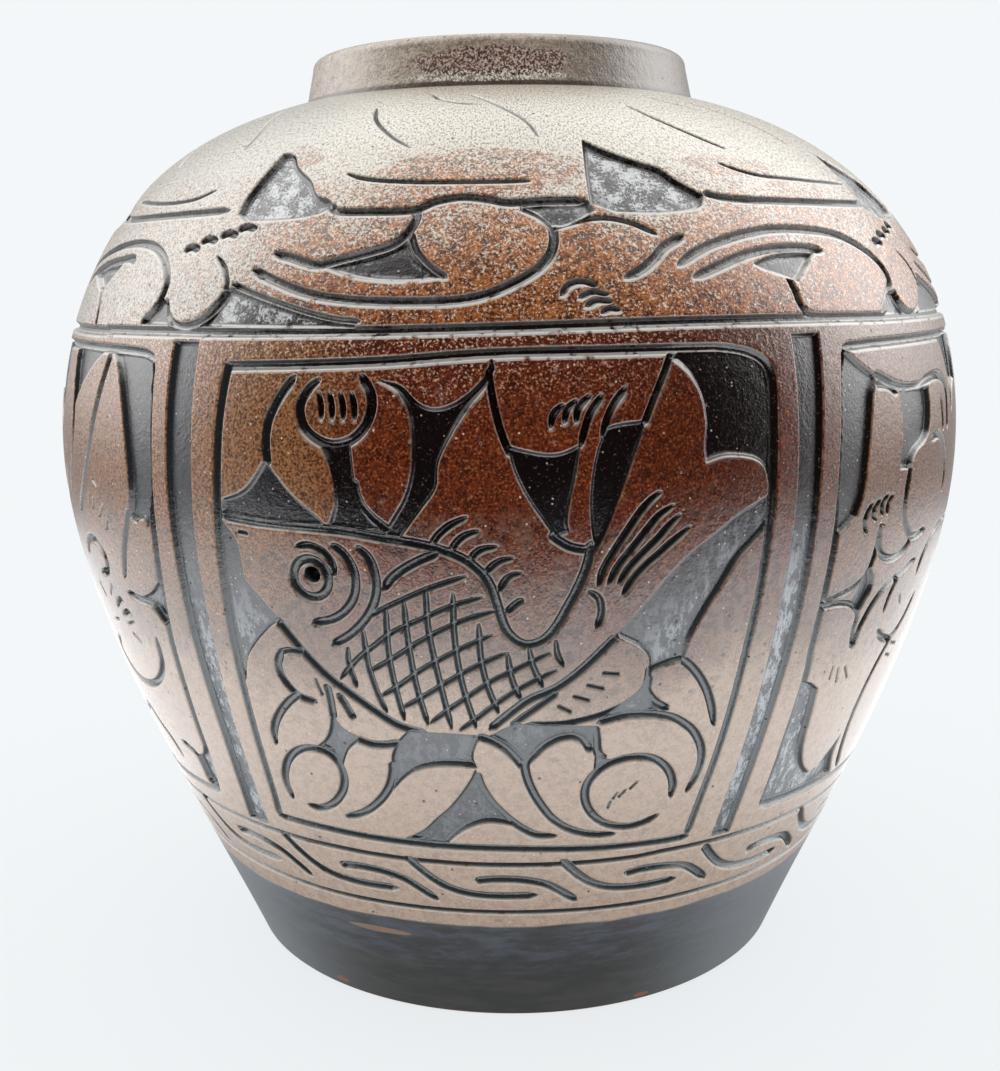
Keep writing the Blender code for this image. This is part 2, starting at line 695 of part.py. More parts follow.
def carve_shoulder(wall, cutters):
    """Clouds in four repeats, and eight petals parted by scraped wedges."""
    cloud_foot = wall.length_at_height(CLOUD_FOOT_HEIGHT)
    petal_foot = cloud_foot + PETAL_FOOT_SHARE * (wall.total() - cloud_foot)
    for i, turn_share in enumerate(CLOUD_TURN_SHARES):
        field = Field(wall, turn_share, QUARTER_HALF_SHARE, cloud_foot, petal_foot)
        for j, points in enumerate(CLOUD_LINE_SHARES):
            gouge(f"cloud_{i}_line_{j}", field, points, cutters)
        for j, points in enumerate(CLOUD_GROUND_SHARES):
            scrape(f"cloud_{i}_ground_{j}", field, points, cutters)
    for i, turn_share in enumerate(PETAL_TURN_SHARES):
        field = Field(wall, turn_share, QUARTER_HALF_SHARE / 2, petal_foot, wall.total())
        for points in PETAL_LINE_SHARES:
            gouge(f"petal_{i}_edge", field, points, cutters)
        for points in PETAL_GROUND_SHARES:
            scrape(f"petal_{i}_wedge", field, points, cutters)


def cut_with(piece, cutters):
    carving = piece.modifiers.new("carving", "BOOLEAN")
    carving.operation = "DIFFERENCE"
    carving.operand_type = "COLLECTION"
    carving.collection = cutters
    carving.solver = "EXACT"


def build_jar():
    clear_scene()
    jar = make_collection("ceramic_jar")
    body_cutters = make_collection("body_cutters")
    shoulder_cutters = make_collection("shoulder_cutters")
    wall = Wall()
    brown = glaze_material("brown_glaze", BROWN_GLAZE, 0.32)
    dark = glaze_material("dark_glaze", DARK_GLAZE, 0.30)
    clay = glaze_material("shoulder_glaze", CLAY_BROWN, 0.30)
    rim = glaze_material("rim_glaze", BROWN_GLAZE, 0.38)
    turned("base", base_profile(wall), dark, jar, closed=False)
    body_wall = turned("body_wall", wall_profile(wall), brown, jar)
    shoulder = turned("shoulder", shoulder_profile(wall), clay, jar)
    turned("neck", neck_profile(wall), rim, jar)
    carve_strips(wall, body_cutters)
    carve_fish(wall, FISH_FIELD_SHARES, "fish", body_cutters, scrolls=True)
    carve_fish(wall, BACK_FISH_FIELD_SHARES, "back_fish", body_cutters, scrolls=False)
    leaf = (LEAF_HALF_FRAME_SHARES, LEAF_LINE_SHARES, LEAF_GROUND_SHARES, LEAF_MIDDLE_SHARES)
    carve_mirrored(wall, LEAF_FIELD_SHARES, "leaf", *leaf, body_cutters)
    bud = (BUD_HALF_FRAME_SHARES, BUD_LINE_SHARES, BUD_GROUND_SHARES, BUD_MIDDLE_SHARES)
    carve_mirrored(wall, BUD_FIELD_SHARES, "bud", *bud, body_cutters)
    carve_mirrored(wall, BACK_BUD_FIELD_SHARES, "back_bud", *bud, body_cutters)
    carve_shoulder(wall, shoulder_cutters)
    cut_with(body_wall, body_cutters)
    cut_with(shoulder, shoulder_cutters)


build_jar()
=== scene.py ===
# %% [markdown]
# # A carved stoneware jar
#
# The real jar is thrown in sections, luted together, and carved while the clay is leather hard: gouged lines
# and scraped-back grounds leave a fish, scrolls and petals standing. Iron-brown glaze covers it, and runs
# dark where the cuts are deep.
#
# The CAD frame gives the turned sections at their real size. Here each section gets its carved skin, which a
# potter would cut by hand and which needs a much finer mesh than a plain turned wall.

# %% Load the frame
import math

import bmesh
import bpy
import numpy as np
from mathutils import Matrix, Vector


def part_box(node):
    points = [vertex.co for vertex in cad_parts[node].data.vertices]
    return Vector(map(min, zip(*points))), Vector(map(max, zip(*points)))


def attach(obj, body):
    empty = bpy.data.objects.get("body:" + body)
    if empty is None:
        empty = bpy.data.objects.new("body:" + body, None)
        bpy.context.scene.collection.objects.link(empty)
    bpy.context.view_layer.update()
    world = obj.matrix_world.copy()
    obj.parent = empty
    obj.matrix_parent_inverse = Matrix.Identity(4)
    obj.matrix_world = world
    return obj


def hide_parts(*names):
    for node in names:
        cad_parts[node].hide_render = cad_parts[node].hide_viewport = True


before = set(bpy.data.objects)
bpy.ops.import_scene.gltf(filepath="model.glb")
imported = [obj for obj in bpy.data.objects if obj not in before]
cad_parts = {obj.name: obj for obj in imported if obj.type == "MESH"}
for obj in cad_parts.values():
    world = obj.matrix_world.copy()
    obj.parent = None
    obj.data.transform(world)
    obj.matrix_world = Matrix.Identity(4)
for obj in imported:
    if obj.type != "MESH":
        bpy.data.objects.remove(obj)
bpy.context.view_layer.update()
MM = 0.001

# %% [markdown]
# ## Camera
#
# The photograph was taken from about the height of the shoulder, an arm's length away, tipped down a little.
# The numbers come from matching the rim, the foot and the outline of the belly.

# %% Camera
CAMERA_PLACE = (-0.0032, -0.4500, 0.2155)
CAMERA_TIP_DOWN = 11.17
CAMERA_ROLL = -0.68
CAMERA_LENS = 45.24
SENSOR_WIDTH = 36.0

camera_data = bpy.data.cameras.new("camera")
camera_data.sensor_width = SENSOR_WIDTH
camera_data.lens = CAMERA_LENS
camera_data.clip_start = 0.01
camera = bpy.data.objects.new("camera", camera_data)
bpy.context.scene.collection.objects.link(camera)
tip = Matrix.Rotation(math.radians(90 - CAMERA_TIP_DOWN), 4, "X")
roll = Matrix.Rotation(math.radians(CAMERA_ROLL), 4, "Z")
camera.matrix_world = Matrix.Translation(CAMERA_PLACE) @ tip @ roll
bpy.context.scene.camera = camera
bpy.context.scene.view_settings.view_transform = "Standard"
print("camera at", CAMERA_PLACE, "lens", CAMERA_LENS, "mm")

# %% [markdown]
# ## The outline of the wall
#
# All the carving is laid out on the outer face, so the first thing needed is that face as a curve. It is the
# same pair of curves as in the CAD: one up to the belly and one over the shoulder. A place on the wall is
# then two numbers, as on a strip of paper wrapped round it: degrees round the jar from the front, to the
# right, and millimetres up the wall from the foot.

# %% Outline
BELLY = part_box("body_wall")[1].x / MM
FOOT = 88.8
BELLY_UP = 163.5
NECK_FOOT = 61.8
NECK_HEIGHT = 14.0
JAR_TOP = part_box("neck")[1].z / MM
NECK_FOOT_UP = JAR_TOP - NECK_HEIGHT
LOWER_CURVE = ((FOOT, 0.0), (FOOT + 16.8, 41.4), (BELLY, BELLY_UP - 52.4), (BELLY, BELLY_UP))
UPPER_CURVE = (
    (BELLY, BELLY_UP),
    (BELLY, BELLY_UP + 42.7),
    (NECK_FOOT + 63.6, NECK_FOOT_UP - 14.9),
    (NECK_FOOT, NECK_FOOT_UP),
)


def curve_points(corners, count=1500):
    """Points (radius, height) in millimetres along one cubic curve."""
    t = np.linspace(0, 1, count)[:, None]
    a, b, c, d = (np.array(corner) for corner in corners)
    return (1 - t) ** 3 * a + 3 * t * (1 - t) ** 2 * b + 3 * t * t * (1 - t) * c + t**3 * d


outline = np.concatenate([curve_points(LOWER_CURVE), curve_points(UPPER_CURVE)[1:]])
outline_up = np.concatenate([[0], np.cumsum(np.hypot(*np.diff(outline, axis=0).T))])
slope = np.gradient(outline, outline_up, axis=0)
WALL_TOP = outline_up[-1]
print("wall from foot to neck, measured over the curve:", round(WALL_TOP, 1), "mm")

# %% [markdown]
# Hands leave a jar a little off true. This one leans to the left by a quarter of a degree, its neck stands
# another millimetre to the left, the right shoulder is fuller than the left, and the wall has slow waves of a
# few tenths of a millimetre, which make the reflections wander. None of it reaches outside the CAD's shape.

# %% From strip to wall
LEAN = 0.004
NECK_DRIFT = 1.3
DRIFT_FROM, DRIFT_TO = 195, 262
SHOULDER_FULLNESS = 0.7
FULLEST_UP = 236
FULLNESS_SPREAD = 34
WAVE_DEPTH = 0.35
MOST_WAVE = 2.6


def bell(x, middle, spread):
    return np.exp(-(((x - middle) / spread) ** 2))


def ease(x, low, high):
    """0 below low, 1 above high, and smooth between."""
    t = np.clip((x - low) / (high - low), 0, 1)
    return t * t * (3 - 2 * t)


def radius_at(up):
    return np.interp(up, outline_up, outline[:, 0])


def slow_waves(around, up):
    """Unevenness of the thrown wall, always inwards, in millimetres."""
    a = np.radians(around)
    wave = np.sin(2 * a + 0.8) * np.sin(up / 23) + np.sin(3 * a - up / 31) + 0.6 * np.sin(5 * a + up / 17 + 2)
    return WAVE_DEPTH * (wave + MOST_WAVE) / (2 * MOST_WAVE) * ease(up, 3, 30)


def off_true(height):
    """How far left the jar's middle stands at each height, in millimetres. The belly is the true middle."""
    return LEAN * (height - BELLY_UP) + NECK_DRIFT * ease(height, DRIFT_FROM, DRIFT_TO)


def on_wall(around, up, depth):
    """Places in metres for arrays of degrees round, millimetres up and millimetres deep."""
    depth = depth + slow_waves(around, up)
    fullness = SHOULDER_FULLNESS * bell(up, FULLEST_UP, FULLNESS_SPREAD)
    radius = radius_at(up) + fullness * (np.sin(np.radians(around)) - 1)
    radius = radius - depth * np.interp(up, outline_up, slope[:, 1])
    height = np.interp(up, outline_up, outline[:, 1]) + depth * np.interp(up, outline_up, slope[:, 0])
    x = radius * np.sin(np.radians(around)) - off_true(height)
    y = -radius * np.cos(np.radians(around))
    return np.stack([x, y, height], axis=-1) * MM


# %% [markdown]
# ## How a cut is described
#
# A gouged line is a smooth curve through a few points, with a width and tapering ends, as the tool goes in
# and comes out. A scraped ground is a closed outline. `Corner` marks the points where an outline turns
# sharply, and everything else is rounded. Each shape can say how far inside or outside it a point of the wall
# lies, in millimetres, and that one number then shapes the clay and places the glaze.

# %% Cuts and grounds
class Corner(tuple):
    """A point of an outline that stays sharp."""


def corner(around, up):
    return Corner((around, up))


def smooth_run(points, count=6):
    """A curve through all the points, by Catmull and Rom's rule."""
    p = np.array(points, float)
    if len(p) < 3:
        return p
    p = np.vstack([2 * p[0] - p[1], p, 2 * p[-1] - p[-2]])
    t = np.linspace(0, 1, count, endpoint=False)[:, None]
    parts = []
    for a, b, c, d in zip(p, p[1:], p[2:], p[3:]):
        squared = (2 * a - 5 * b + 4 * c - d) * t**2
        cubed = (3 * b - a - 3 * c + d) * t**3
        parts.append(0.5 * (2 * b + (c - a) * t + squared + cubed))
    return np.vstack(parts + [p[-2:-1]])


def smooth_path(points, closed):
    """The points as one smooth path that keeps its corners."""
    points = list(points)
    if closed:
        sharp = [i for i, p in enumerate(points) if isinstance(p, Corner)]
        start = sharp[0] if sharp else 0
        points = points[start:] + points[:start] + [points[start]]
        if not sharp:
            wrapped = [points[-2]] + points + [points[1]]
            return smooth_run(wrapped)[6:-6]
    last = len(points) - 1
    breaks = [0] + [i for i in range(1, last) if isinstance(points[i], Corner)] + [last]
    runs = [smooth_run(points[a : b + 1]) for a, b in zip(breaks, breaks[1:])]
    return np.vstack([runs[0]] + [run[1:] for run in runs[1:]])


REACH = 4.0
BELLY_DEGREE = 2.35
TIP_SHARE = 0.4
RING_POINTS = 30


class Cut:
    """A gouged line, or with closed set, a scraped ground. REACH is how far from it depths are worked out."""

    def __init__(self, path, half_width, closed=False):
        self.path = path
        self.half_width = half_width
        self.closed = closed

    def moved(self, shift=0.0, mirror=None, lift=0.0):
        path = self.path.copy()
        if mirror is not None:
            path[:, 0] = 2 * mirror - path[:, 0]
        return Cut(path + [shift, lift], self.half_width, self.closed)

    def depth_inside(self, around, up):
        """How far inside the cut each point lies, in millimetres, and negative outside."""
        scale = np.radians(1) * radius_at(up)[:, None]
        x = (self.path[None, :, 0] - around[:, None]) * scale
        y = self.path[None, :, 1] - up[:, None]
        ax, ay, bx, by = x[:, :-1], y[:, :-1], x[:, 1:], y[:, 1:]
        dx, dy = bx - ax, by - ay
        t = np.clip(-(ax * dx + ay * dy) / (dx * dx + dy * dy + 1e-9), 0, 1)
        away = np.hypot(ax + t * dx, ay + t * dy)
        if not self.closed:
            width = self.half_width[None, :-1] * (1 - t) + self.half_width[None, 1:] * t
            return (width - away).max(axis=1)
        crosses = (ay > 0) != (by > 0)
        where = ax - ay * dx / np.where(dy == 0, 1e-9, dy)
        inside = (crosses & (where > 0)).sum(axis=1) % 2 == 1
        return np.where(inside, 1, -1) * away.min(axis=1)


def line(width, *points, taper=(1.6, 1.6)):
    """A gouged line. taper is how many millimetres the tool takes to go in and to come out."""
    path = smooth_path(points, closed=False)
    step = np.diff(path, axis=0) * [BELLY_DEGREE, 1]
    run = np.concatenate([[0], np.cumsum(np.hypot(*step.T))])
    going_in = np.clip(run / max(taper[0], 0.01), 0, 1)
    coming_out = np.clip((run[-1] - run) / max(taper[1], 0.01), 0, 1)
    return Cut(path, width / 2 * (TIP_SHARE + (1 - TIP_SHARE) * np.sqrt(going_in * coming_out)))


def lines(width, runs, taper):
    """One gouged line for each run of points."""
    return [line(width, *run, taper=taper) for run in runs]


def ground(*points):
    """A scraped-back area inside a closed outline."""
    path = smooth_path(points, closed=True)
    return Cut(path, np.zeros(len(path)), closed=True)


def ring(width, middle, radius, tall=1.0):
    """A gouged ring about a middle point, with its radius in millimetres."""
    wide = radius / (np.radians(1) * radius_at(middle[1]))
    turns = np.radians(np.linspace(0, 360, RING_POINTS))
    points = [(middle[0] + wide * np.cos(t), middle[1] + tall * radius * np.sin(t)) for t in turns]
    return line(width, *points, taper=(0, 0))


def stretches(shapes, count=7):
    """The shapes with long lines cut into stretches, so that each covers a small part of the wall."""
    parts = []
    for shape in shapes:
        if shape.closed:
            parts.append(shape)
            continue
        for start in range(0, len(shape.path) - 1, count):
            end = start + count + 1
            parts.append(Cut(shape.path[start:end], shape.half_width[start:end]))
    return parts


def how_deep_inside(shapes, around, up):
    """The largest depth inside any of the shapes at each point, in millimetres."""
    order = np.argsort(around)
    sorted_around, sorted_up = around[order], up[order]
    inside = np.full(len(around), -REACH)
    for shape in stretches(shapes):
        margin = REACH if shape.closed else REACH + shape.half_width.max()
        low, high = shape.path.min(axis=0) - margin, shape.path.max(axis=0) + margin
        for turn in (-360, 0, 360):
            first, last = np.searchsorted(sorted_around, (low[0] + turn, high[0] + turn))
            level = sorted_up[first:last]
            near = first + np.nonzero((level > low[1]) & (level < high[1]))[0]
            if len(near):
                found = shape.depth_inside(sorted_around[near] - turn, sorted_up[near])
                inside[near] = np.maximum(inside[near], found)
    back = np.empty_like(inside)
    back[order] = inside
    return back


# %% [markdown]
# ## The front panel: a fish among scrolls
#
# Fish over waves and lotus scrolls is an old ornament on folk pottery. The carver drew the frame first, then
# the fish's back, belly and gills with single strokes, then hatched the scales, and last scraped away the
# spaces between the scrolls. The points below were read off the photograph, a stroke at a time.

# %% Front panel, frame
MAIN = 2.3
FINE = 1.8
panel_frame = [
    line(MAIN, corner(-34.1, 72.8), (-33.6, 80), (-33.2, 90), (-32.8, 104), (-32.3, 122), (-31.8, 140),
        (-31.2, 160), (-30.8, 175), (-30.4, 190), corner(-29.7, 203.3), (-20, 204.1), (-12, 205),
        (-5, 206.3), (1, 206.9), (10, 207), (17, 207), (21, 206.8), (24, 205.6), (26, 203.2), (26.8, 199),
        (26.7, 190), (26.5, 176), (26.2, 160), (25.9, 145), (25.4, 128), (25, 110), (24.5, 95), (23.9, 82),
        (23.4, 69.4), taper=(0, 0)),
    line(MAIN, (-34.2, 72.9), (-28, 72.6), (-20, 71.9), (-10, 71.3), (0, 70.8), (10, 69.6), (18, 69.1),
        (23.6, 69), taper=(1, 1)),
]

# %% Front panel, fish
pupil = ring(3.6, (-20.4, 153), 0.35)
fish = [
    line(MAIN, (-30.6, 166.2), (-26, 165.4), (-21, 165), (-17, 164.6), (-13, 163.3), (-10, 162.3),
        (-7.5, 161), (-5, 158.6), (-3.2, 155), (-2.2, 151), (-1.6, 146), (-0.9, 140.3), (0.2, 137),
        (1.4, 136), (2.8, 137.2), (4, 140.5), (5.2, 146), (6.2, 151), (7, 156.5), (7.4, 162), taper=(0, 0)),
    line(MAIN, (-12.9, 150.2), (-12, 153.2), (-10.5, 156), (-9, 158), (-7.3, 159.8)),
    line(MAIN, (-25.2, 139.3), (-23.9, 135), (-22, 129), (-20, 124), (-17.8, 119.8), (-15.3, 115.2),
        (-13, 111.6), (-10, 109.6), taper=(0, 0)),
    line(MAIN, (10.3, 137.6), (8, 131.5), (6, 126.8), (4, 123.2), (1.5, 120.4), (-0.5, 116.6),
        (-2.8, 111.5), taper=(0, 0)),
    line(FINE, (4.4, 122), (2.2, 117.8), (0.6, 114.8), (-0.4, 112.6), taper=(1, 0)),
    line(2.6, (-28.5, 162.5), (-27.6, 162.3), taper=(0.3, 0.3)),
    ring(2.4, (-20.6, 152), 4.7, tall=1.06),
    pupil,
    line(1.9, (-21.8, 160), (-20.4, 160.5), (-18.9, 159), (-18.1, 156.3), (-18, 153.2)),
    line(MAIN, (-17.9, 161), (-16.7, 158.7), (-15.9, 155), (-15.8, 151), (-16.3, 147), (-17.4, 143.6),
        (-19, 141.2), (-21, 140)),
    line(MAIN, (-15.3, 160.7), (-14.2, 158), (-13.7, 154), (-13.7, 149.5), (-14.4, 144.8), (-15.7, 140.5),
        (-17.3, 137), (-19.1, 134.4)),
]
print("fish strokes:", len(fish))

# %% [markdown]
# The scales are a net: seven strokes that follow the back, crossed by ten that fall steeply. A carver rules
# one way first and then the other, so each set is kept on its own.

# %% Front panel, scales
scale_rows = (
    ((-15.2, 142), (-13.3, 144.8), (-8.8, 150.3), (-4.7, 154)),
    ((-18.9, 124.6), (-16.7, 130.5), (-14.7, 134.5), (-12.4, 138.8), (-9, 143), (-6.2, 146.3), (-3.2, 148.6)),
    ((-15.4, 127.3), (-12.5, 131.8), (-10, 136), (-7.5, 139.6), (-5, 142.6), (-2, 145)),
    ((-14.5, 120.2), (-12.3, 123.8), (-9.8, 128.5), (-7.5, 132), (-5, 135.4), (-2.3, 138.6)),
    ((-12.3, 117), (-9.7, 121), (-7.3, 125), (-5, 128.6), (-2.7, 131.6), (-1, 133.6)),
    ((-9.3, 113), (-7, 117.5), (-4.8, 121.6), (-2.3, 126), (0, 129), (3.5, 133.5)),
    ((-6.1, 111), (-4.3, 114.5), (-1.8, 119.6), (0.5, 123.6), (4.2, 128.6)),
)
scale_columns = (
    ((-17.5, 133.7), (-17.7, 129.5), (-17.2, 122.6)),
    ((-15.6, 139.5), (-15.5, 129), (-14.9, 121), (-14.2, 115.5)),
    ((-12.9, 145.8), (-13.1, 134), (-12.9, 125), (-12.3, 113.5)),
    ((-11, 147.5), (-10.9, 136), (-10.5, 124), (-9.7, 112.5)),
    ((-8.7, 151), (-8.7, 140), (-8.1, 128), (-7.1, 111.5)),
    ((-6, 149.5), (-6.1, 138), (-5.6, 125), (-4.4, 112)),
    ((-3.6, 141.5), (-3.5, 132), (-2.9, 124), (-1.9, 116.5)),
    ((-0.8, 133.6), (-0.4, 126.5), (0.5, 120.3)),
    ((1.4, 135), (1.8, 130), (2.8, 124)),
    ((4.1, 136.8), (4.3, 133), (4.9, 129.8)),
)
scales = lines(1.5, scale_rows, (3, 4)) + lines(1.6, scale_columns, (4, 2))
print("scale strokes:", len(scales))

# %% [markdown]
# Fins and tail are quick flicks of a narrower tool, which goes in thick and comes out thin. Short pecks fill
# the plain places.

# %% Front panel, fins, tail and dashes
back_fin = (
    ((-8.3, 162.3), (-7.5, 165), (-6.3, 167.5), (-4.8, 169.3)),
    ((-6.4, 160.8), (-5.8, 163.2), (-4.9, 165), (-3.7, 166)),
    ((-4.6, 158.6), (-4, 160.6), (-3.2, 161.7), (-2, 162.2)),
    ((-3.1, 155.6), (-2.3, 157.6), (-1.5, 158.8), (-0.5, 159.3)),
    ((-1.8, 151), (-1.3, 153.4), (-0.6, 155), (0.3, 155.5)),
)
tail = (
    ((8.2, 151), (8.6, 155), (9.6, 159.5), (10.9, 164.5), (12.1, 168.8), (13.2, 171.7), (14.1, 173.3)),
    ((9.2, 151.3), (10, 155.5), (11.4, 160), (12.8, 164.3), (14, 167.7), (15.4, 169.9)),
    ((10.2, 151.3), (11.1, 155), (12.5, 158.7), (13.9, 162), (15, 165), (16.1, 167.5)),
    ((10.7, 148.4), (11.5, 152), (12.8, 155.6), (14.3, 158.7), (15.6, 161.4), (17.2, 164.3)),
)
combs = (
    ((3.3, 189.5), (3.6, 192.4), (4.5, 194.6)),
    ((4.6, 190.5), (4.9, 193.4), (5.8, 195.5)),
    ((5.7, 190.6), (6, 193.8), (7.1, 196.6)),
    ((6.1, 185), (6.6, 189.5), (7.2, 193), (8.3, 196.6)),
    ((8.2, 186.5), (8.6, 190.5), (9.4, 194.5), (10.6, 198.2)),
)
fin_pecks = (
    ((4.6, 118.6), (5.8, 116.8)), ((6.2, 121.3), (7.7, 120)), ((7.6, 124.4), (9.2, 123.2)),
    ((9.2, 127.7), (10.7, 127.2)),
)
left_pecks = (
    ((-22, 123.4), (-21.6, 119.2)), ((-20.8, 122), (-20.7, 118), (-20.8, 112)),
    ((-19.5, 119.6), (-18.9, 116.4), (-18.3, 112.8)),
)
BLUNT = (0.6, 0.6)
COMB_PITCH = 1.15
comb_tooth = line(1.5, (-19, 197.5), (-18.7, 194.5), (-18.6, 191.3), taper=(2, 2))
strokes = [stroke.moved(shift=0.3, lift=-0.8) for stroke in lines(FINE, back_fin, (1.5, 4))]
strokes += lines(FINE, tail, (3, 5))
strokes += [stroke.moved(shift=0.3) for stroke in lines(1.7, combs, (2.5, 2))]
strokes += [stroke.moved(lift=-0.5) for stroke in lines(2.4, fin_pecks, BLUNT)]
strokes += lines(2.2, left_pecks, BLUNT)
strokes.append(line(2.0, (-0.7, 144.9), (0, 146.6), (0.7, 147.8), taper=BLUNT))
strokes += [comb_tooth.moved(shift=COMB_PITCH * i) for i in range(4)]
strokes.append(line(FINE, (7.3, 149.6), (8.3, 147.6), (8.6, 144), (8.2, 139.9)))
print("fins, tail and dashes:", len(strokes))

# %% [markdown]
# Lotus scrolls fill the rest of the panel, in long strokes of the main tool that run into one another.

# %% Front panel, scrolls
scrolls = [
    line(MAIN, (-21.7, 201.2), (-23.3, 196), (-24.4, 190.5), (-24.7, 185), (-24.5, 180), taper=(2, 0)),
    line(MAIN, (-19, 200.6), (-20.2, 197.8), (-20.9, 193.8), (-20.4, 189.2), (-19, 186.3), (-17.3, 185.2),
        (-15.5, 186.4), (-14.2, 189.4), (-13.5, 193.5), (-13.6, 197.5), (-14.6, 201.6), taper=(3, 2)),
    line(MAIN, (-15.4, 177), (-14.8, 171.5), (-13.6, 168), (-12, 165), taper=(0, 0)),
    line(1.7, (-2.2, 203), (-2, 199), (-1.6, 193.5), (-1, 188), (-0.2, 183), taper=(1, 0)),
    line(1.6, (12.6, 189.6), (13.4, 194), (14.3, 198.5), (15.1, 202.5), (15.8, 206.5), taper=(0, 0)),
    line(2.2, (3.6, 164), (4.3, 162.6), (5.3, 161.1), (6.3, 160.4), (7.3, 160.1), taper=(0, 0)),
    line(MAIN, (17.9, 129), (19.2, 126.2), (20.5, 122.4), (21.6, 118), (22.5, 113), (23.2, 108),
        taper=(0, 5)),
    line(MAIN, (14.2, 125), (14.2, 121), (15.2, 117.6), (16.8, 114.9), taper=(0, 0)),
    line(MAIN, (9, 112.6), (12, 114.2), (15, 113.8), (17.5, 112.2), (19.4, 109.4), (20.9, 106),
        (22.1, 101.3), (22.6, 96.5), (22.4, 91.5), (21.6, 86.3), taper=(0, 4)),
    line(MAIN, (19.5, 85.4), (19.4, 89.5), (18.6, 94), (17.2, 97.7), (15.4, 100), (13.2, 100.6), (11, 99.4),
        (9.4, 96.8), (8.4, 93), (8.2, 88.8), (8.8, 84.2), (10.2, 80), (12.2, 77.4), (14.5, 76.5),
        (16.5, 77.4), (18.2, 79.2), taper=(3, 3)),
    line(MAIN, (10, 101), (9.3, 103), (9, 107), (8.7, 111), taper=(0, 0)),
    line(MAIN, (8.4, 104), (7.6, 107), (6.3, 108.7), (4.8, 108.3), (3.2, 106.2), (1.9, 103), (1, 100),
        (1.3, 95), (2, 90.5), (3, 86), (4.3, 81.6), (6, 78.2), (8, 75.9), (10.2, 74.6), (12.6, 74.2),
        taper=(0, 5)),
    line(MAIN, (-4.6, 97), (-4.2, 93), (-3.3, 88.5), (-2.2, 84.8), (-0.8, 81.2), (0.8, 78), (2.5, 75.8),
        (4.9, 75), taper=(0, 5)),
    line(MAIN, (-4, 109), (-2.6, 107.6), (-1.2, 105.2), (-0.1, 102.3), (0.7, 99.5), taper=(0, 0)),
    line(MAIN, (-14.5, 99), (-14.8, 95), (-15.6, 90.5), (-17, 86), (-18.9, 82), (-20.7, 79.7),
        (-22.4, 78.4), taper=(0, 4)),
    line(MAIN, (-18.4, 106.2), (-16.6, 105), (-14.8, 105.2), (-13.4, 106), taper=(0, 0)),
    line(MAIN, (-27.9, 80.1), (-26.2, 79.9), (-24.6, 81.3), (-23.1, 84.1), (-21.9, 87.9), (-21.3, 92),
        (-21.4, 96.3), (-22.2, 99.5), (-23.8, 101.1), (-25.6, 100.7), (-27.4, 98.7), (-29, 95.1),
        (-30.1, 90.5), (-30.5, 86.5), (-30.3, 81.6), taper=(3, 3)),
    line(MAIN, (-30, 100.6), (-29.8, 104), (-29, 108), (-27.7, 112), (-26.3, 115.3), (-24.8, 118),
        taper=(4, 0)),
    line(MAIN, (-25.8, 130.2), (-26.5, 126.5), (-26.2, 122.6), (-25.2, 119), (-24, 117.2), (-22.6, 116.6),
        taper=(1, 1)),
    line(FINE, (-26, 130.3), (-24.6, 131.3), (-23, 131), taper=(1, 0)),
]
seeds = (
    ((11.3, 84), (11.5, 86)), ((11.8, 87), (12.2, 88.8)), ((12.5, 87.6), (13.2, 89.6)),
    ((13.8, 90), (14.5, 92)),
)
scrolls += lines(1.7, seeds, (0.8, 0.8))
print("scroll strokes:", len(scrolls))

# %% [markdown]
# What lies between the scrolls is scraped away to one depth, so that fish and scrolls stand up. Each ground
# is outlined with sharp corners where two strokes meet.

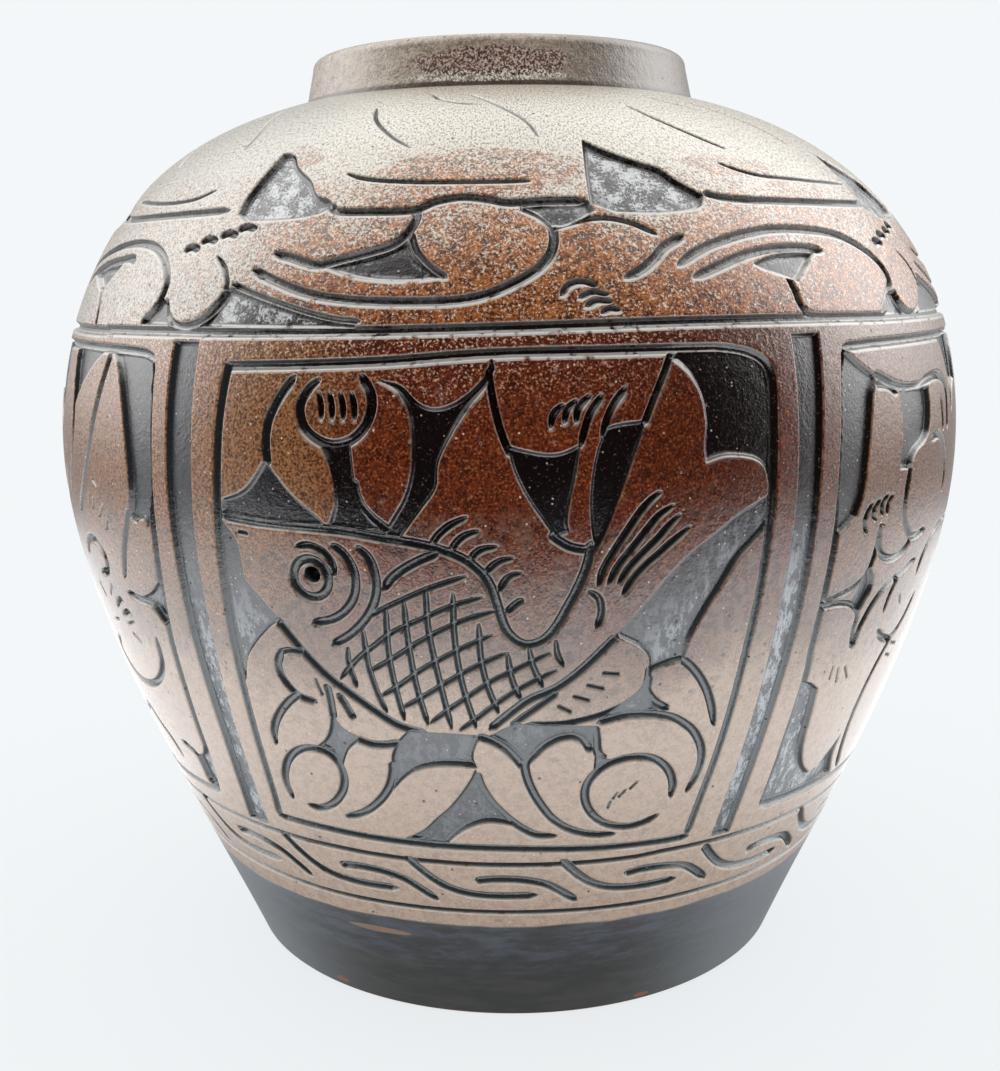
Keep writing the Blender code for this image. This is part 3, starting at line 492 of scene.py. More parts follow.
# %% Front panel, scraped grounds
grounds = [
    ground(corner(-30.2, 170.6), (-28, 172.6), (-26.6, 175.4), corner(-24.9, 181), (-23.8, 178),
        (-22.4, 174), (-21, 171), corner(-19.4, 168), corner(-18.4, 165.6), (-24, 165.4),
        corner(-30.6, 166.8)),
    ground(corner(-18.8, 185.4), (-17.9, 181), (-17.4, 176), (-17.4, 171), corner(-18.2, 165.5),
        (-15, 164.8), corner(-12.4, 164.6), (-13.9, 168), (-14.9, 172), (-15.3, 178), corner(-15.6, 186),
        (-17.3, 185)),
    ground(corner(-12.8, 200.6), (-10.6, 199.2), (-8.9, 195.3), (-7.3, 194), (-5.5, 195.2), (-3.8, 198.2),
        (-2.4, 202), corner(-1.9, 206), corner(-1.6, 203), (-2.4, 199.2), (-4, 194.5), (-5.6, 188.5),
        (-7, 181.5), (-7.3, 175.5), (-8.7, 170.5), (-9.9, 166.5), corner(-10.9, 163.2),
        corner(-12.8, 163.6), (-11.6, 168), (-10.4, 173), (-9.7, 178.5), (-9.5, 184), (-9.6, 190),
        (-10, 194), (-11, 198)),
    ground(corner(-0.4, 185.3), (1, 184.3), (3, 183.3), (4.6, 183.5), corner(6.4, 185.3), (6, 179),
        (5.4, 172.5), (5.1, 167.5), corner(5.3, 164.6), corner(3.9, 163.4), (2.8, 167.4), (1.5, 172.3),
        (0.5, 177), (-0.1, 181)),
    ground(corner(9, 189.2), (10.6, 190), corner(12.7, 190.4), (12.2, 186), (11.3, 180.5), (10.4, 174.5),
        (9.4, 168), (8.7, 163.6), corner(7.9, 159.6), (7.5, 164), (7.3, 170), (7.4, 176), (7.8, 182),
        (8.4, 186.5)),
    ground(corner(15.6, 204.8), corner(16.5, 206.8), (21, 206.6), (24, 205.4), (26, 203), (26.7, 198),
        (26.6, 186), corner(26.2, 171), (25.9, 174.5), (25.4, 178), (24.2, 180), (22.4, 180.9), (20.7, 181),
        corner(18.9, 179.9), (18.8, 184), (19, 189), (18.7, 195), (17.7, 200.4), (16.6, 203.4)),
    ground(corner(26.2, 171), (24.6, 169), (22.6, 166.6), (20, 162.2), (17.4, 157.6), (15, 151.6),
        (12.7, 144.6), corner(10.2, 137.6), (11.4, 136), (12.9, 133.8), (14, 130.6), corner(14.1, 126.4),
        (15.6, 127.8), (16.8, 128.6), corner(18, 129), (18.4, 135), (19.6, 141.6), (21.2, 148.4),
        (22.8, 154.8), (24.4, 158.8), (25.8, 162), corner(26.4, 165)),
    ground(corner(-31, 166), (-29.8, 163), (-28.9, 159.6), (-28.7, 155), corner(-28.7, 150.2),
        (-27.4, 146.6), (-26, 142.6), corner(-24.6, 139.6), (-26, 138.2), (-27.6, 135), (-29.3, 131),
        (-30.6, 127), corner(-31.7, 120), corner(-32.4, 124), (-32, 136), (-31.6, 150), (-31.3, 160)),
    ground(corner(-20.9, 114.5), (-20.2, 110.2), (-19.1, 108), corner(-17.6, 106.6), (-18.6, 104.6),
        (-20, 101.4), corner(-21.3, 95), (-21.9, 98.6), (-22.6, 101), corner(-23.9, 102), (-22.6, 104.6),
        (-21.7, 108)),
    ground(corner(-12.2, 109.8), (-8, 109.8), corner(-3.9, 109.3), (-4.6, 105.5), (-4.9, 102),
        corner(-4.5, 99), (-7, 99.4), (-9.6, 98.9), (-11.7, 97.2), (-13.4, 94.2), corner(-15, 90),
        (-14.6, 96), (-14.5, 101), (-13.6, 105.8)),
    ground(corner(-4.7, 98.6), (-5.4, 95), (-6.6, 90.4), (-8.2, 85.4), (-10.2, 80.8), (-12, 76.5),
        corner(-14.6, 73), corner(-9.3, 71.2), (-8.2, 74.2), (-6.3, 77.8), (-4.2, 80), (-2.4, 80.1),
        corner(-0.3, 79), (-1.6, 82.6), (-3, 86.6), (-4, 91), (-4.5, 95)),
    ground(corner(-3, 109.2), (-1.4, 111.4), corner(0.2, 113.2), (3, 112.2), (6, 112), corner(8.8, 111.4),
        corner(8.7, 104), (7.8, 107.2), (6.5, 108.9), (4.9, 108.7), (3.2, 106.6), (1.9, 103.4),
        corner(0.9, 99.6), (0.1, 102.7), (-1.2, 106.2)),
    ground(corner(14, 122.4), (12.8, 119.4), (11.3, 116.9), corner(8.9, 113), (11.5, 114.2),
        corner(15.8, 114.4), (15, 117.4)),
    ground(corner(9, 104), (9.8, 101.2), corner(11.8, 100), (10.3, 98.2), corner(9, 96)),
]
fin_leaf = line(FINE, (14.1, 128), (14, 123.6), (13, 119.6), (11, 116.6), (8.4, 114.3), (5, 112.8),
    (1.2, 112.8), taper=(0, 0))
front_motif = fish + scales + strokes + scrolls + grounds + [fin_leaf]
print("front panel:", len(panel_frame) + len(front_motif), "shapes")

# %% [markdown]
# ## The side panels: leaves and buds
#
# Only the near half of each side panel shows in the photograph. These ornaments are built about a middle
# line, so the far half of each is the near half turned over, as a carver working from one pattern would lay
# it out.

# %% Right panel
right_half = [
    line(MAIN, corner(37.2, 205.6), (42, 206), (50, 206.2), (60, 206.3), (67.5, 206.4), taper=(1, 0)),
    line(MAIN, (37.2, 205), (36.6, 196), (36.2, 186), (35.8, 172), (35.6, 158), (35.3, 142), (35.2, 126),
        (35.5, 118), (35.4, 100), (35.5, 84), (35.5, 73.5), taper=(0, 0)),
    line(MAIN, (35.4, 73.4), (44, 72.6), (56, 72.4), (67.5, 72.3), taper=(0, 0)),
    ground(corner(37.6, 204.8), (39.4, 201.4), corner(42.2, 197.4), (41.2, 193), (40.6, 186), (40, 177),
        (39.5, 168), corner(38.6, 162), corner(36, 158), (35.9, 170), (36.3, 186), (36.8, 198)),
    line(MAIN, (42, 198), (44, 196), (46, 194.4), (48.5, 193.4), (51.5, 193.4), (54, 194.8), (57, 195.4),
        (59.6, 194.2), (61, 190.6), (61.2, 185), (61, 180)),
    ground(corner(46.2, 193.8), (50, 193), corner(54, 192.8), (54.2, 187), (53.6, 181), (52.2, 178.2),
        (50.4, 176.6), (49.2, 174.4), corner(48.6, 172), corner(46.2, 172.4), (46.6, 176), (47, 181),
        (46.9, 187)),
    line(FINE, (42, 195.4), (44.2, 194.6), (45.8, 192.6), taper=(0, 0)),
    line(FINE, (58.3, 189), (58.8, 185), (59, 180)),
    line(MAIN, (48.8, 172.6), (48.2, 166), (48.4, 160), (49.4, 155.6), (50.9, 152), (50.3, 149.3),
        (48.6, 147.6), (46.6, 147.5), (44.6, 149.4), (43.6, 153), (43.3, 158), taper=(0, 3)),
    line(MAIN, (51, 152), (53, 151.6), (55.3, 152.4)),
    line(MAIN, (54.4, 178.5), (57.5, 178.8), (59.6, 174.4), (60.6, 168.5), (60.4, 162), taper=(2, 4)),
    ground(corner(40.4, 138.4), (41.2, 141.6), corner(43, 146.4), (43.9, 143), (43.9, 139.4), (43, 136),
        corner(42.3, 133.4)),
    line(FINE, (35.6, 139.4), (38, 140.6), (40.4, 142), (42.2, 145), (43, 150), (43.2, 156), taper=(0, 2)),
    line(FINE, (35.6, 138), (38.4, 138), (40.8, 136.4), (42.2, 133.4), (42.3, 128), (43, 122.6),
        taper=(0, 1)),
    line(MAIN, (43.2, 123), (43.6, 129), (44.9, 134.6), (46.8, 138.6), (49.4, 141), (52, 142.6),
        (54.2, 144), taper=(1, 4)),
    line(FINE, (50, 140.4), (49, 136.4), (48.5, 131), taper=(0, 3)),
    line(MAIN, (48.6, 125), (50.8, 121.6), (53.6, 120), (55.8, 122.6), (57.4, 127), (58.4, 131.6),
        taper=(3, 3)),
    line(MAIN, (54.2, 119.8), (52.8, 115.6), (51.6, 109.6), (50.8, 102), (50.8, 94), (51.6, 86.4),
        (53, 79.6), (54.6, 75), taper=(0, 3)),
    line(MAIN, (56.4, 139), (57, 143.6), (58.6, 147.6), (60.8, 150.6), (63.6, 151.2), (67.5, 151.2),
        taper=(3, 0)),
    ground(corner(35.4, 116), (37, 114.6), corner(38.6, 112), (39.1, 103), (39.8, 93), (41.4, 85.4),
        corner(44.2, 79.8), (46, 81.6), (47.6, 85), corner(49.4, 90), (50, 82), corner(52.4, 74), (44, 73),
        corner(35.8, 73.8), (35.7, 95)),
    ground(corner(60, 206), (61.8, 200), (63.2, 192), corner(64.2, 184), (65.6, 190), corner(67.5, 193),
        corner(67.5, 206)),
]
pecks = (
    ((40.6, 157), (40.2, 161), (41.2, 164.6)), ((42, 160), (41.6, 162.4), (42.6, 165.2)),
    ((43.3, 161), (43.1, 163.6), (44.1, 166)), ((44.3, 161), (44.3, 163.4), (45.1, 165.6)),
    ((40.3, 118), (40.3, 114.4)), ((41.5, 117), (42, 112.6)), ((43, 116.6), (44.3, 112.6)),
    ((54.6, 114), (56.6, 112.4)), ((55, 117.6), (57.4, 116)), ((43.1, 158), (43.9, 158)),
    ((52.2, 134), (53, 131.6)),
)
right_half += lines(1.7, pecks, (1.5, 1.5))
RIGHT_MIDDLE = 67.5
right_panel = right_half + [shape.moved(mirror=RIGHT_MIDDLE) for shape in right_half]
print("right panel:", len(right_panel), "shapes")

# %% [markdown]
# The bud panel leans with the wall, as its inner frame line shows.

# %% Left panel
left_half = [
    line(MAIN, corner(-41.2, 204.2), (-42.8, 205.4), (-46, 205.9), (-52, 206.2), (-60, 206.2),
        (-73.5, 206.2), taper=(0, 0)),
    line(MAIN, (-41.1, 204), (-40.9, 190), (-41, 172), (-41.4, 156), (-42.2, 141), (-43, 129), (-43.7, 114),
        (-44.4, 101), (-45.2, 88), (-46.4, 79), (-47.3, 74), taper=(0, 0)),
    line(MAIN, (-47.2, 73.8), (-52, 73.2), (-60, 72.6), (-73.5, 72.4), taper=(0, 0)),
    ground(corner(-49.6, 205.4), (-48.2, 202), (-47, 196.6), (-46, 189), (-45.3, 180), (-45.1, 171),
        corner(-45.8, 162.4), (-44.6, 160.8), (-43.2, 162.2), corner(-42, 160), (-41.2, 172), (-41.1, 190),
        corner(-41.4, 203.8), (-44, 205.2)),
    line(MAIN, (-45.8, 163.6), (-47, 158), (-48.3, 152), (-50, 143.4), taper=(0, 4)),
    line(MAIN, (-50.1, 204.6), (-51.2, 198), (-52.7, 189.4), (-54.3, 180.6), (-56.2, 172.4), (-58.4, 165),
        (-60.8, 159), taper=(0, 4)),
    ground(corner(-51.8, 205.6), (-54.4, 202.2), (-56.8, 198), corner(-59.2, 192.6), corner(-60.4, 189),
        (-61.2, 197), corner(-62.6, 205.8)),
    line(MAIN, (-62, 203.6), (-61.2, 197), (-60.8, 190), (-60.9, 183), (-62, 175), (-63.6, 168), (-65, 163),
        taper=(0, 4)),
    line(MAIN, (-50.2, 138.6), (-48, 137.8), (-45.8, 137.6), (-44.4, 136), (-43.1, 132.6), taper=(2, 0)),
    ground(corner(-47, 138.6), (-44.6, 141), corner(-42.4, 145), corner(-42.9, 133), (-44, 136.4)),
    line(MAIN, (-62, 146), (-60, 150.6), (-57, 151.4), (-54.6, 148), (-55, 143.4), (-57.6, 141.4)),
    line(MAIN, (-51.8, 88.6), (-50, 87.4), (-48.7, 85.6), (-48.6, 80), (-48.8, 76), taper=(2, 1)),
    ground(corner(-45.2, 92), (-46.6, 87.6), corner(-48.6, 86), corner(-48.7, 75), corner(-47, 74.6),
        (-46, 80)),
    line(MAIN, (-61.4, 95.6), (-58.8, 90), (-56.6, 86.4), (-55.2, 81), taper=(3, 3)),
    ground(corner(-73.5, 206), corner(-67, 206), (-66.6, 197), (-67.8, 188), corner(-70, 181), (-72, 186),
        corner(-73.5, 192)),
    line(MAIN, (-66, 176), (-67.2, 168), (-70, 161.6), (-73.5, 159), taper=(3, 0)),
    ground(corner(-73.5, 119), (-70.8, 122), corner(-67.5, 128.6), (-66.6, 120), (-68, 111.6),
        (-70.6, 105.6), corner(-73.5, 102)),
    line(MAIN, (-46.6, 126), (-47.4, 118), (-50, 111.6), (-54, 107.4), (-58.4, 106.8), (-61.8, 110),
        (-62.6, 115.4), (-60.6, 119.6), taper=(3, 4)),
    line(MAIN, (-61.2, 96), (-64.4, 92), (-68.6, 90), (-73.5, 89.4), taper=(0, 0)),
    ground(corner(-73.5, 86), (-69.6, 85.6), corner(-65.6, 82.6), (-63.8, 78), corner(-62, 73.6),
        corner(-73.5, 73.4)),
]
pecks = (
    ((-54.2, 170), (-53.2, 168.6)), ((-56.1, 165), (-56.6, 160.8)), ((-54.5, 164.6), (-55.1, 161.4)),
    ((-52, 163), (-53.6, 159.6)), ((-51.3, 159), (-52.1, 156.4)), ((-56.6, 135.4), (-55.2, 138.6)),
    ((-55.6, 132), (-54, 134.8), (-52.9, 134.6)), ((-54.3, 130), (-52.6, 131.6), (-51.4, 130.6)),
    ((-53.6, 127.4), (-51.5, 129)), ((-53.1, 124.6), (-51.4, 122.6)), ((-60.6, 137), (-59.4, 133.6)),
    ((-58.6, 126.4), (-57, 127)),
)
left_half += lines(1.7, pecks, (1.5, 1.5))
LEFT_MIDDLE = -73.5
left_panel = left_half + [shape.moved(mirror=LEFT_MIDDLE) for shape in left_half]
print("left panel:", len(left_panel), "shapes")

# %% [markdown]
# ## Strips between the panels, and the panels behind
#
# Scraped strips part the five panels. The front two lean out a little towards the foot, as the carver judged
# them by eye. Behind, the fish and the leaves come round again.

# %% Strips and back panels
strips = [
    ground(corner(-37.9, 209), corner(-34.2, 209), (-34.3, 180), (-34.7, 158), (-35.2, 130), (-36, 108),
        (-36.6, 88), corner(-37.4, 67.6), corner(-41.4, 67.6), (-40.3, 82), (-39.4, 100), (-38.8, 126),
        (-38.3, 150), (-38, 180)),
    ground(corner(30, 209.6), corner(33.7, 209.6), (33, 188), (32.5, 165), (32.2, 140), (31.7, 115),
        (31.3, 90), corner(31, 66.6), corner(27.8, 66.6), (28.2, 88), (28.6, 112), (29, 140), (29.6, 168),
        (29.9, 190)),
]
plain_strip = ground(corner(-1.8, 209), corner(1.8, 209), (1.7, 160), (1.8, 110), corner(2, 67.4),
    corner(-2, 67.4), (-1.8, 110), (-1.7, 160))
FRONT_TURN = -3.5
BACK_RIGHT_TURN = 140.5
BACK_LEFT_TURN = 213.5
strips += [plain_strip.moved(shift=turn) for turn in (104, 177, 250)]
back_right = [shape.moved(shift=BACK_RIGHT_TURN - FRONT_TURN) for shape in panel_frame + front_motif]
back_left = [shape.moved(shift=BACK_LEFT_TURN - LEFT_MIDDLE) for shape in left_panel]
pupils = [pupil, pupil.moved(shift=BACK_RIGHT_TURN - FRONT_TURN)]
print("strips:", len(strips))

# %% [markdown]
# ## The scroll band under the panels
#
# Two strokes make the repeat: one falls from the upper line and runs flat to the right, the other starts flat
# and falls between it and the next. Round the front they are placed as the photograph shows them.

# %% Scroll band
falling = line(2.7, (0, 65.6), (2, 60.6), (4.4, 56.2), (7.4, 53.5), (11.5, 52.4), (17.6, 52.5),
    taper=(0, 0.6))
rolling = line(2.7, (9.4, 58.3), (12, 59.1), (15.6, 58.7), (18.8, 56.9), (21.2, 53.5), (23.4, 49.6),
    taper=(0.6, 3))
front_places = ((-56, 1.0), (-35.2, 0.3), (-15, 0), (6, 0), (27.2, -2.2), (47.6, -2.2))
BACK_PLACES = 11
BACK_LIFT = -0.8
first, last = front_places[0][0] + 360, front_places[-1][0]
back_pitch = (first - last) / (BACK_PLACES + 1)
places = list(front_places) + [(last + back_pitch * (i + 1), BACK_LIFT) for i in range(BACK_PLACES)]
band = [stroke.moved(shift=turn, lift=lift) for turn, lift in places for stroke in (falling, rolling)]
band.append(line(1.5, (-180, 46.2), (-60, 46.8), (-30, 46), (0, 45.7), (25, 45), (60, 44.6), (180, 46.2),
    taper=(0, 0)))
band.append(line(1.6, (-180, 66), (-60, 66), (-30, 65.7), (-14, 65), (2, 64.5), (16, 64.4), (24, 65),
    (60, 64.7), (180, 66), taper=(0, 0)))
print("scroll band:", len(band), "shapes")

# %% [markdown]
# ## The shoulder band
#
# Clouds and leaves run round the shoulder in four repeats of a quarter turn: a large oval, a small one, a row
# of pecks, two long wave lines, and leaf lines that swell into the next large oval.

# %% Shoulder band
left_oval = [
    line(MAIN, (-73, 227.4), (-68, 231.6), (-62, 234.4), (-57, 236), (-52, 236.4), (-47.6, 235),
        (-44.6, 231.8), (-42.6, 227.4), (-41.8, 223), (-42.6, 217.6), (-44.6, 213.4), taper=(4, 0)),
    line(MAIN, (-71, 224), (-66, 228), (-61, 230.2), (-56, 231.2), (-53, 231.8), (-51.2, 230.6),
        taper=(4, 2)),
    line(1.8, (-59.4, 223), (-58.3, 219.5), (-57.6, 216.6), (-56.9, 212), taper=(0, 0)),
    ground(corner(-66, 227), (-62, 229), (-57.6, 229.6), corner(-54.6, 230), (-56, 227), (-57.8, 223.8),
        (-58.6, 221.4), (-60.6, 223), corner(-64, 226)),
]
right_oval = [
    line(MAIN, (18.1, 227.7), (20.2, 230.6), (22.4, 232.9), (25.5, 235), (28.9, 236.7), (32.4, 237.6),
        (37.8, 237.4), (42.8, 235.9), (46.9, 231.8), (49.3, 227.1), (49.8, 222.3), (48.2, 218.6),
        (45.9, 214.2), taper=(4, 0)),
    line(MAIN, (19.6, 224.5), (23, 227.4), (26.5, 230.2), (30.5, 231.8), (35.3, 232.2), (38.2, 231.3),
        taper=(3, 2)),
    line(1.8, (31.4, 224.4), (31.8, 220.6), (32, 217.7), (32.6, 215.1), (33.8, 213.9), (38, 213.4),
        taper=(0, 0)),
    ground(corner(27.3, 227.8), (29.4, 229.6), corner(31.4, 230.6), corner(36.8, 230.8), (34.1, 225.6),
        corner(32.7, 222.9), (31, 224.4), (28.8, 226)),
]
cloud_unit = [
    ground(corner(-42.1, 219.8), (-41.2, 219.4), (-40.6, 216), corner(-39.6, 213), corner(-44.4, 213)),
    line(2.2, (-41, 219.4), (-40.2, 215.8), (-38.6, 213.2), (-36.4, 213), (-34.4, 214.8), (-32.6, 218.4),
        (-31.4, 222.6), taper=(0, 1)),
    line(1.4, (-32, 222.7), (-31.9, 224.2), (-32.8, 228), (-34.4, 231.3), taper=(0, 3)),
    line(MAIN, (-26.2, 232), (-24, 230.8), (-22, 229.4), (-20.4, 228.8), (-18, 230.2), (-15, 231.9),
        (-12.4, 233.9), (-10.8, 237), (-10, 241), (-10.1, 243.6), taper=(2, 0)),
    line(MAIN, (-28.6, 227.6), (-25.5, 224.7), (-22.3, 222.1), (-19.2, 220.5), (-15, 219.5), (-10, 219.2),
        (-6, 219.4), (-3, 220.4), (-0.4, 222.6), (2.2, 225.8), (4, 229.4), (4.9, 233.6), (4.9, 238),
        (3.8, 241.4), (1.8, 244), taper=(2, 0)),
    line(1.8, (-31, 223.8), (-28.4, 221.6), (-25, 219.2), (-21.4, 216.8), (-18, 215), (-15.2, 214.4),
        taper=(0, 0)),
    ground(corner(-31.4, 223), (-28, 221), (-24, 218.4), (-20, 215.9), corner(-15.4, 214),
        corner(-15.6, 212.6), corner(-34.6, 212.8), (-33, 217)),
    ground(corner(-20.2, 228.7), (-17, 230), (-13.6, 231.9), corner(-10.8, 235), (-9.8, 231), (-8.2, 227.8),
        corner(-6.4, 225.2), (-10, 224.3), (-14, 224.6), (-17.4, 226.2)),
    line(FINE, (-10.4, 237), (-9.6, 232), (-8, 227.8), (-6.4, 225.2), taper=(0, 0)),
    ground(corner(0.8, 245), (3, 243), corner(4.8, 238.6), (6.4, 238.6), (8.4, 240.6), corner(10, 243),
        corner(9.4, 246)),
    line(MAIN, (12, 224.6), (14, 226.8), (15.6, 229.6), (17, 232.6), (19.4, 235.4), taper=(3, 2)),
    line(1.5, (5.2, 238), (6.6, 239), (9, 240.4), (11.4, 240.6), (14, 239), (16.4, 236), taper=(0, 3)),
]
arches = ((-39.4, 234.2), (-36.9, 236.5), (-33.9, 238), (-31.4, 239.8))
cloud_unit += [
    line(2.1, (a - 1.1, up - 0.6), (a, up + 0.3), (a + 1.2, up - 0.5), taper=(0.7, 0.7)) for a, up in arches
]
leaf_pecks = (
    ((5.2, 220.4), (6, 222.9), (7.4, 223.8), (8.9, 222.6)), ((7, 219.8), (8.4, 221.1), (9.9, 220.4)),
    ((7.6, 217.7), (8.8, 219), (10.2, 218.6)), ((9.1, 216), (10, 217), (10.9, 216.6)),
)
cloud_unit += lines(1.6, leaf_pecks, (1, 1))
RIGHT_QUARTER = 91.0
OTHER_QUARTERS = (0, -89.5, 180)
clouds = [shape.moved(shift=turn) for turn in (RIGHT_QUARTER, *OTHER_QUARTERS) for shape in cloud_unit]
clouds += right_oval + [shape.moved(shift=turn) for turn in OTHER_QUARTERS for shape in left_oval]
main_line = line(2.5, (-180, 212), (-66, 210.7), (-52, 211.2), (-40, 211.4), (-30, 211.5), (-20, 211.9),
    (-10, 212.3), (0, 212.8), (18, 213.5), (36, 213.2), (60, 212.6), (180, 212), taper=(0, 0))
print("shoulder band:", len(clouds), "shapes")

# %% [markdown]
# ## Petals round the neck
#
# Eight petals reach from the neck down to the shoulder band. Between two petals the ground is scraped to a
# wedge, upright on its left side and leaning on its right. Inside each petal one soft line follows its edge.

# %% Petals
front_edge = line(MAIN, (-20.6, 245.6), (-19.4, 243.9), (-15, 243.5), (-10.4, 243.7), (-8, 246.1),
    (-5, 247.4), (-2, 246.6), (0.4, 245.4), (4, 245.9), (9, 246), taper=(0, 0))
plain_edge = line(MAIN, (-20.6, 247), (-18, 245.6), (-13, 245), (-4, 245), (4, 245.2), (11, 245.6),
    taper=(0, 0))
front_wedge = ground(corner(9.6, 245.2), (9.9, 254), (10.4, 262), corner(10.9, 268.6), (12.8, 265),
    (15.3, 261.7), (17.4, 259.4), (19.8, 257), (21.4, 252.8), corner(24.2, 247.8), (22.7, 243.8),
    (18.2, 242.3), corner(12.6, 242.4))
left_wedge = ground(corner(-33.8, 244.2), (-33.8, 249.1), (-33.2, 255.1), (-32.6, 260.9),
    corner(-32.2, 266.4), (-30.1, 265.7), (-27.9, 260.1), (-24.9, 254.9), (-23.1, 249.6), (-21.1, 247.7),
    corner(-20.4, 245.7), (-22, 243.4), (-26, 242), corner(-32.3, 241.8))
soft_arc = line(1.3, (-19.8, 256.4), (-17.4, 254.5), (-14, 253.3), (-9, 252.5), (-3, 252.3), (3, 252.3),
    taper=(5, 5))
right_arc = line(1.2, (29.3, 259.6), (32.1, 256.9), (35.4, 255.3), (40.4, 254.8), (45.7, 254.4),
    (53.9, 254.2), taper=(5, 9))
left_arc = line(1.3, (-63.2, 251.8), (-53.4, 249.9), (-47.1, 249.7), (-43.4, 250.6), (-40.6, 253),
    taper=(9, 7))
radial_lines = [
    line(1.0, (-22.4, 290), (-20, 281), (-16, 272), (-12.4, 266), taper=(6, 6)),
    line(0.9, (-6, 300), (-1, 290), (3.4, 279), (5, 270), taper=(6, 8)),
    line(0.9, (-14, 302), (-11.6, 296), (-7.6, 291.6), (-3.6, 290.2), taper=(5, 6)),
]
PETAL_TURNS = (0, 45, 90, 135, 180, 225, 270, 313.2)
petals = [front_edge, soft_arc, front_wedge, right_arc, left_arc, left_wedge]
petals.append(plain_edge.moved(shift=PETAL_TURNS[1], lift=1.5))
petals += [plain_edge.moved(shift=turn) for turn in PETAL_TURNS[2:]]
petals += [front_wedge.moved(shift=turn) for turn in PETAL_TURNS[1:7]]
petals += [soft_arc.moved(shift=turn) for turn in PETAL_TURNS[2:7]]
petals += [shape.moved(shift=turn) for turn in PETAL_TURNS for shape in radial_lines]
print("petals:", len(petals), "shapes")

panels = panel_frame + front_motif + right_panel + left_panel + strips + back_right + back_left
all_shapes = panels + band + clouds + petals + [main_line]
print("shapes in all:", len(all_shapes), "in three families: panels, bands, petals")

# %% [markdown]
# ## Clay sheets
#
# A carved wall is modelled flat and then wrapped, as a slab of clay can be. The sheet starts as a plain grid.
# Only the faces near a cut are subdivided, twice, so that edges come out crisp to about 0.3 mm while plain
# clay stays light. Then every vertex goes to its place on the wall, sunk by its depth inside the cuts: a
# rounded lip, a steep side and a level bottom. What the glaze will read is kept on the mesh: the depth inside
# the cuts, the place on the wall, and the lower edges of the cuts, where the glaze paints a highlight.

# %% Sheet maker
MERGED = 1e-6
CELL = 1.3
BACK_CELL = 1.55
CUT_DEPTH = 1.45
LIP = 0.32
SIDE = 0.72
NEAR_A_CUT = ((-1.1, 1.8), (-0.65, 0.95))
PUPIL_DEPTH = 3.0
STEP_UP = 0.3
FOLD = 100


def deselect_all():
    if bpy.context.object and bpy.context.object.mode != "OBJECT":
        bpy.ops.object.mode_set(mode="OBJECT")
    bpy.ops.object.select_all(action="DESELECT")


def keep_numbers(mesh, name, values):
    """Stores one number per vertex under a name that a material can read."""
    attribute = mesh.attributes.new(name, "FLOAT", "POINT")
    attribute.data.foreach_set("value", np.asarray(values, np.float32))


def folded(around):
    """Degrees round from the front, folded at both sides, so that the back is coloured like the front."""
    turn = (around + 180) % 360 - 180
    behind = (180 - abs(turn)) * FOLD / (180 - FOLD)
    return np.sign(turn) * np.where(abs(turn) < FOLD, abs(turn), behind)


def corners_of(mesh):
    places = np.empty(len(mesh.vertices) * 3)
    mesh.vertices.foreach_get("co", places)
    return places.reshape(-1, 3)


def face_extremes(mesh, values):
    """The lowest and highest value over each face's corners."""
    corner_vertex = np.empty(len(mesh.loops), np.int64)
    mesh.loops.foreach_get("vertex_index", corner_vertex)
    starts = np.empty(len(mesh.polygons), np.int64)
    mesh.polygons.foreach_get("loop_start", starts)
    at_corner = values[corner_vertex]
    return np.minimum.reduceat(at_corner, starts), np.maximum.reduceat(at_corner, starts)


def refine(piece, shapes, low, high):
    """Subdivides the faces that come within low..high millimetres of a cut's edge."""
    mesh = piece.data
    flat = corners_of(mesh)
    lowest, highest = face_extremes(mesh, how_deep_inside(shapes, flat[:, 0], flat[:, 1]))
    near = (highest > low) & (lowest < high)
    mesh.vertices.foreach_set("select", np.zeros(len(mesh.vertices), bool))
    mesh.edges.foreach_set("select", np.zeros(len(mesh.edges), bool))
    mesh.polygons.foreach_set("select", near)
    bpy.ops.object.mode_set(mode="EDIT")
    bpy.ops.mesh.select_mode(type="FACE")
    bpy.ops.mesh.subdivide(number_cuts=1, ngon=True)
    bpy.ops.object.mode_set(mode="OBJECT")


def lower_edge(shapes, flat, inside):
    """Near 1 along the lower edges of the cuts, near -1 along their upper edges and 0 away from them."""
    near = (inside > -1.5) & (inside < 2.5)
    higher = how_deep_inside(shapes, flat[near, 0], flat[near, 1] + STEP_UP)
    rise = np.zeros(len(inside))
    rise[near] = (higher - inside[near]) / STEP_UP
    return rise


def carved_depth(inside):
    """How deep the clay lies. A cut starts LIP outside its edge and is level SIDE inside it."""
    t = np.clip((inside + LIP) / (LIP + SIDE), 0, 1)
    return CUT_DEPTH * t * t * (3 - 2 * t)


